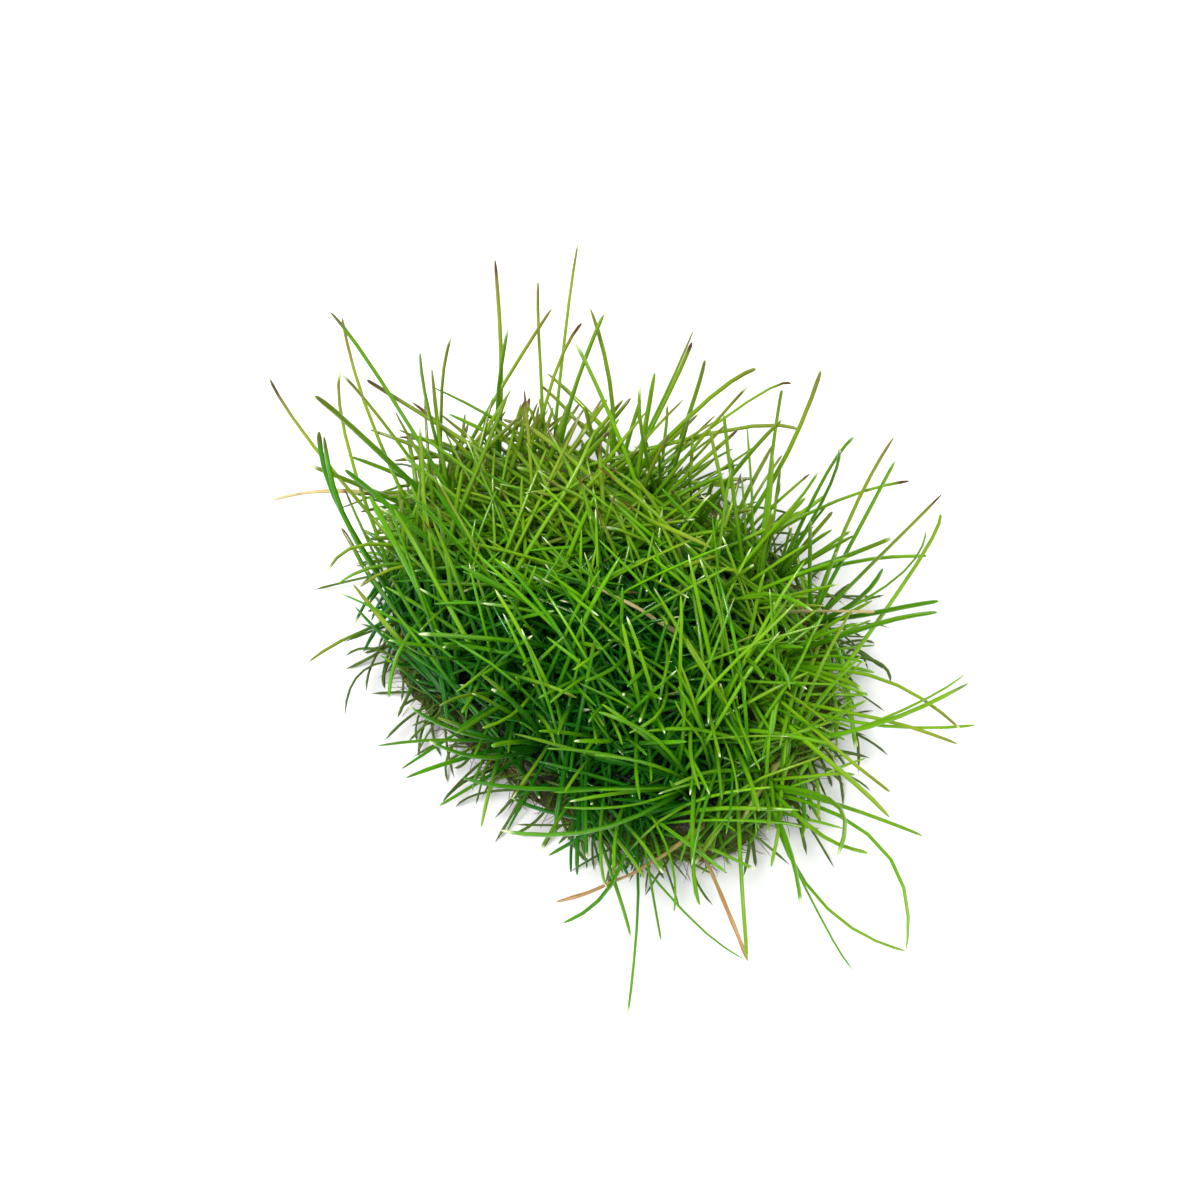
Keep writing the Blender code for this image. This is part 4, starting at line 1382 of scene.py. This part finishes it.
@dataclass
class Undergrowth:
    """The leaves that the solids are too few for.

    Each grows near a tuft's crown and stays where the traced leaves and the mat are: its tip and its
    middle are never out of their reach.
    """

    view: View
    mat: RootMat
    tufts: list[Tuft]
    tries: int = 24000
    patch_radius: float = 2.6 * MM
    drawn_in: float = 0.97
    sink: float = 0.3 * MM
    mass_in_picture: Pair = (581, 630)
    mass_half_sizes: Pair = (275, 190)
    mass_turn: float = math.radians(34)
    fade: Pair = (0.7, 1.25)
    margin: float = 0.4 * MM
    tested_shares: Triple = (0.55, 0.8, 1.0)
    mat_steps: tuple[int, int] = (6, 4)
    seed: int = 12

    def leaves(self) -> list[Leaves]:
        """Grow each tuft's added leaves.

        Returns:
            One set of leaves for each tuft, in the order of the sorts.
        """
        rng = np.random.default_rng(self.seed)
        around, across = self.mat_steps
        surface = self.mat.grid[::around, ::across].reshape(-1, 3)
        known = Shade([tuft.leaves for tuft in self.tufts] + [Leaves(surface, surface, surface)])
        grown = [self.grown(known, sort, rng) for sort in SORTS]
        return [Leaves(*map(np.concatenate, zip(*sets))) for sets in zip(*grown)]

    def feet(self, bases: np.ndarray, rng: Random) -> np.ndarray:
        """Scatter a foot near each of some crowns, on the mat and a little sunk in it.

        Args:
            bases: where the crowns stand.
            rng: what varies.

        Returns:
            The feet.
        """
        turn = rng.uniform(0, math.tau, len(bases))
        reach = self.patch_radius * np.sqrt(rng.uniform(0, 1, len(bases)))
        middle = self.mat.middle[:2]
        away = bases[:, :2] + headed(turn) * reach[:, None] - middle
        return self.mat.over(middle + away * self.drawn_in) - (0, 0, self.sink)

    def ways(self, sort: Sort, away: np.ndarray, rng: Random) -> np.ndarray:
        """Which way each leaf goes: at any turn about the view's axis, or outward from the middle.

        Args:
            sort: the sort of leaf.
            away: the way from the mat's middle to each foot.
            rng: what varies.

        Returns:
            Unit vectors.
        """
        turn = rng.uniform(0, math.tau, (self.tries, 1))
        rise = rng.uniform(*sort.rise, (self.tries, 1))
        level = np.sqrt(1 - rise**2)
        if sort.spread:
            turn = np.arctan2(away[:, 1:2], away[:, :1]) + rng.normal(0, sort.spread, (self.tries, 1))
            return np.hstack((headed(turn[:, 0]) * level, rise))
        across = np.cos(turn) * self.view.right + np.sin(turn) * self.view.up
        return level * across + rise * self.view.toward

    def grown(self, known: Shade, sort: Sort, rng: Random) -> list[Leaves]:
        """Try many leaves of a sort at random and keep, for each tuft, the first few that stay in place.

        A leaf's pull is the middle of its chord, raised and swung a little.

        Args:
            known: where the traced leaves and the mat are.
            sort: the sort of leaf.
            rng: what varies.

        Returns:
            The leaves of each tuft.
        """
        tuft = rng.integers(len(self.tufts), size=self.tries)
        feet = self.feet(np.array([t.base for t in self.tufts])[tuft], rng)
        away = feet[:, :2] - self.mat.middle[:2]
        ways = self.ways(sort, away, rng)
        length = rng.triangular(*sort.lengths, (self.tries, 1))
        tips = feet + ways * length
        lift = np.array((0, 0, 1)) - ways * ways[:, 2:]
        swing = unit(np.cross(ways, rng.normal(size=ways.shape)))
        bow = lift * rng.uniform(*sort.bow, (self.tries, 1)) + swing * rng.normal(0, 0.05, (self.tries, 1))
        leaves = Leaves(feet, (feet + tips) / 2 + bow * length, tips)
        reach = np.linalg.norm(away, axis=1)
        good = self.in_place(tips, rng) & (reach > sort.rim_share * reach.max())
        for place in leaves.places(np.array(self.tested_shares)).swapaxes(0, 1):
            good &= known.within_reach(place) & (known.crowding(place) < sort.most_shade)
        chosen = [np.flatnonzero(good & (tuft == number))[: sort.each] for number in range(len(self.tufts))]
        return [Leaves(*(ends[kept] for ends in leaves)) for kept in chosen]

    def in_place(self, tips: np.ndarray, rng: Random) -> np.ndarray:
        """Tell which tips are in the box and, ever more rarely toward its edge, in the seen mass.

        The mass is an oval in the picture, and a tip's distance from its middle is measured in the
        oval's half sizes.

        Args:
            tips: the leaves' tips.
            rng: what varies.

        Returns:
            Whether each is.
        """
        off = self.view.points(tips) - self.mass_in_picture
        along = np.array((math.cos(self.mass_turn), math.sin(self.mass_turn)))
        off = np.stack((off @ along, off @ (-along[1], along[0])), axis=1) / self.mass_half_sizes
        good = np.linalg.norm(off, axis=1) < rng.uniform(*self.fade, len(off))
        return good & ((tips > LOW + self.margin) & (tips < HIGH - self.margin)).all(axis=1)


@dataclass
class WitheredLeaf:
    """A withered leaf: its solid's line, flattened, twisted and a little crinkled."""

    node: str
    finish: bpy.types.Material
    slot: Slot
    number: int
    radius: float = 0.25 * MM
    flatness: float = 0.6
    twist: float = 2.4
    sides: int = 10
    even_stations: tuple[float, float, int] = (0.002, 0.94, 24)
    tip_stations: tuple[float, ...] = (0.965, 0.985, 0.996, 1.0)
    crinkle_depth: float = 0.05 * MM
    crinkle_pitch: float = 0.3
    knot_pitch: float = 0.15
    tip_start: float = 0.93
    seed: int = 2000

    def build(self) -> bpy.types.Object:
        """Make the leaf.

        It narrows by 3 tenths on its way, and its blunt tip falls off as the root of 1 - x^2, where
        x is how far along the tip a place is. Pitches are shares of its length.

        Returns:
            The piece, which replaces the leaf's solid.
        """
        rng = np.random.default_rng(self.seed + self.number)
        solid = Solid(self.node)
        start = solid.spikes()[:1]
        rings = solid.rings(start, len(SEEN_STATIONS) + 2)
        middles = [solid.middle(ring) for ring in rings if ring.any()]
        foot, tip = middles[-1], solid.points[start]
        leaf = Leaves(foot, through(foot, tip, SEEN_STATIONS, middles), tip)
        station = np.concatenate(((0.0,), np.linspace(*self.even_stations), self.tip_stations))
        on_axis = station[:, None] * (1, 0, 0)
        aside = unit(np.cross(tip - foot, rng.normal(size=(1, 3))))
        crinkle = wavy(on_axis, self.crinkle_pitch, self.number) * np.sin(math.pi * station)
        lines = leaf.places(station) + aside[:, None] * (self.crinkle_depth * crinkle)[None, :, None]
        narrowed = share_of_way(station, self.tip_start, 1) ** 2
        radii = self.radius * (1 - 0.3 * station) * np.sqrt(1 - narrowed)
        radii = radii * (0.88 + 0.12 * wavy(on_axis, self.knot_pitch, self.number + 7))
        values = {"tone": rng.uniform(0, 1, 1), "warmth": rng.uniform(0.2, 1, 1)}
        surface = tubes(lines, radii[None], self.sides, values, self.flatness, self.twist)
        obj = piece(f"{self.node}_dried", surface, self.finish)
        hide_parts(self.node)
        return obj


class Light(NamedTuple):
    """A soft lamp: which way it stands from the portion, how far, how wide and how strong."""

    name: str
    turn: float
    height: float
    distance: float
    size: float
    power: float


@dataclass
class Studio:
    """A pale floor and plain soft light."""

    floor_finish: FloorFinish
    floor_radius: float = 2.0
    floor_sides: int = 64
    sky: float = 0.38
    lights: tuple[Light, ...] = (
        Light("key_light", math.radians(-35), math.radians(62), 0.9, 0.4, 11.0),
        Light("fill_light", math.radians(70), math.radians(40), 1.1, 0.8, 3.0),
        Light("back_light", math.radians(165), math.radians(45), 1.0, 0.6, 4.0),
    )

    def build(self) -> None:
        """Make the floor, the lamps and the sky."""
        self.floor()
        for light in self.lights:
            self.lamp(light)
        world = bpy.data.worlds.new("sky")
        world.use_nodes = True
        background = world.node_tree.nodes["Background"]
        background.inputs["Color"].default_value = (1.0, 1.0, 1.0, 1.0)
        background.inputs["Strength"].default_value = self.sky
        bpy.context.scene.world = world
        bpy.context.scene.view_settings.view_transform = "Standard"

    def floor(self) -> None:
        """Lay a round pale floor whose top is at the surface that the portion rests on."""
        side = np.arange(self.floor_sides)
        rim = headed(side * math.tau / self.floor_sides) * self.floor_radius
        points = np.vstack((np.column_stack((rim, np.zeros(self.floor_sides))), (0, 0, 0)))
        fan = np.stack((side, (side + 1) % self.floor_sides, np.full_like(side, self.floor_sides)), axis=1)
        mesh = bpy.data.meshes.new("floor")
        mesh.from_pydata(points.tolist(), [], fan.tolist())
        mesh.materials.append(self.floor_finish.material())
        floor = bpy.data.objects.new("floor", mesh)
        bpy.context.scene.collection.objects.link(floor)

    def lamp(self, light: Light) -> None:
        """Hang one square lamp and turn it to the portion.

        Args:
            light: the lamp.
        """
        data = bpy.data.lights.new(light.name, "AREA")
        data.size = light.size
        data.energy = light.power
        lamp = bpy.data.objects.new(light.name, data)
        flat = Vector((math.sin(light.turn), -math.cos(light.turn), 0)) * math.cos(light.height)
        way = flat + Vector((0, 0, math.sin(light.height)))
        lamp.location = way * light.distance
        lamp.rotation_euler = way.to_track_quat("Z", "Y").to_euler()
        bpy.context.scene.collection.objects.link(lamp)


def nodes(start: str) -> list[str]:
    """The names of the solids that start in some way, in order."""
    return sorted(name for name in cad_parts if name.startswith(start))


def report(obj: bpy.types.Object) -> None:
    """Report a piece and how many faces it has."""
    LOG.info("%s: %d faces", obj.name, len(obj.data.polygons))


def main() -> None:
    """Build the camera, the studio, the mat, the tufts and the withered leaves, in that order."""
    logging.basicConfig(level=logging.INFO, format="%(name)s: %(message)s")
    mat = RootMat(RootFinish())
    view = View(mat.middle)
    view.camera()
    Studio(FloorFinish()).build()
    green = GreenLeafFinish().material()
    tufts = [Tuft(name, green, view, number) for number, name in enumerate(nodes("tuft_"), 1)]
    undergrowth = Undergrowth(view, mat, tufts).leaves()
    shade = Shade([tuft.leaves for tuft in tufts] + undergrowth)
    report(mat.build(np.array([tuft.base for tuft in tufts]), shade))
    for tuft, added in zip(tufts, undergrowth):
        report(tuft.build(added, shade))
    tan = WitheredFinish("withered_leaf_finish", (0.50, 0.295, 0.120), (0.33, 0.155, 0.045)).material()
    straw = WitheredFinish("straw_leaf_finish", (0.64, 0.52, 0.25), (0.44, 0.32, 0.13)).material()
    for number, name in enumerate(nodes("withered_")):
        finish, slot = (tan, Slot.WITHERED) if "front" in name else (straw, Slot.STRAW)
        report(WitheredLeaf(name, finish, slot, number).build())


if __name__ == "__main__":
    main()
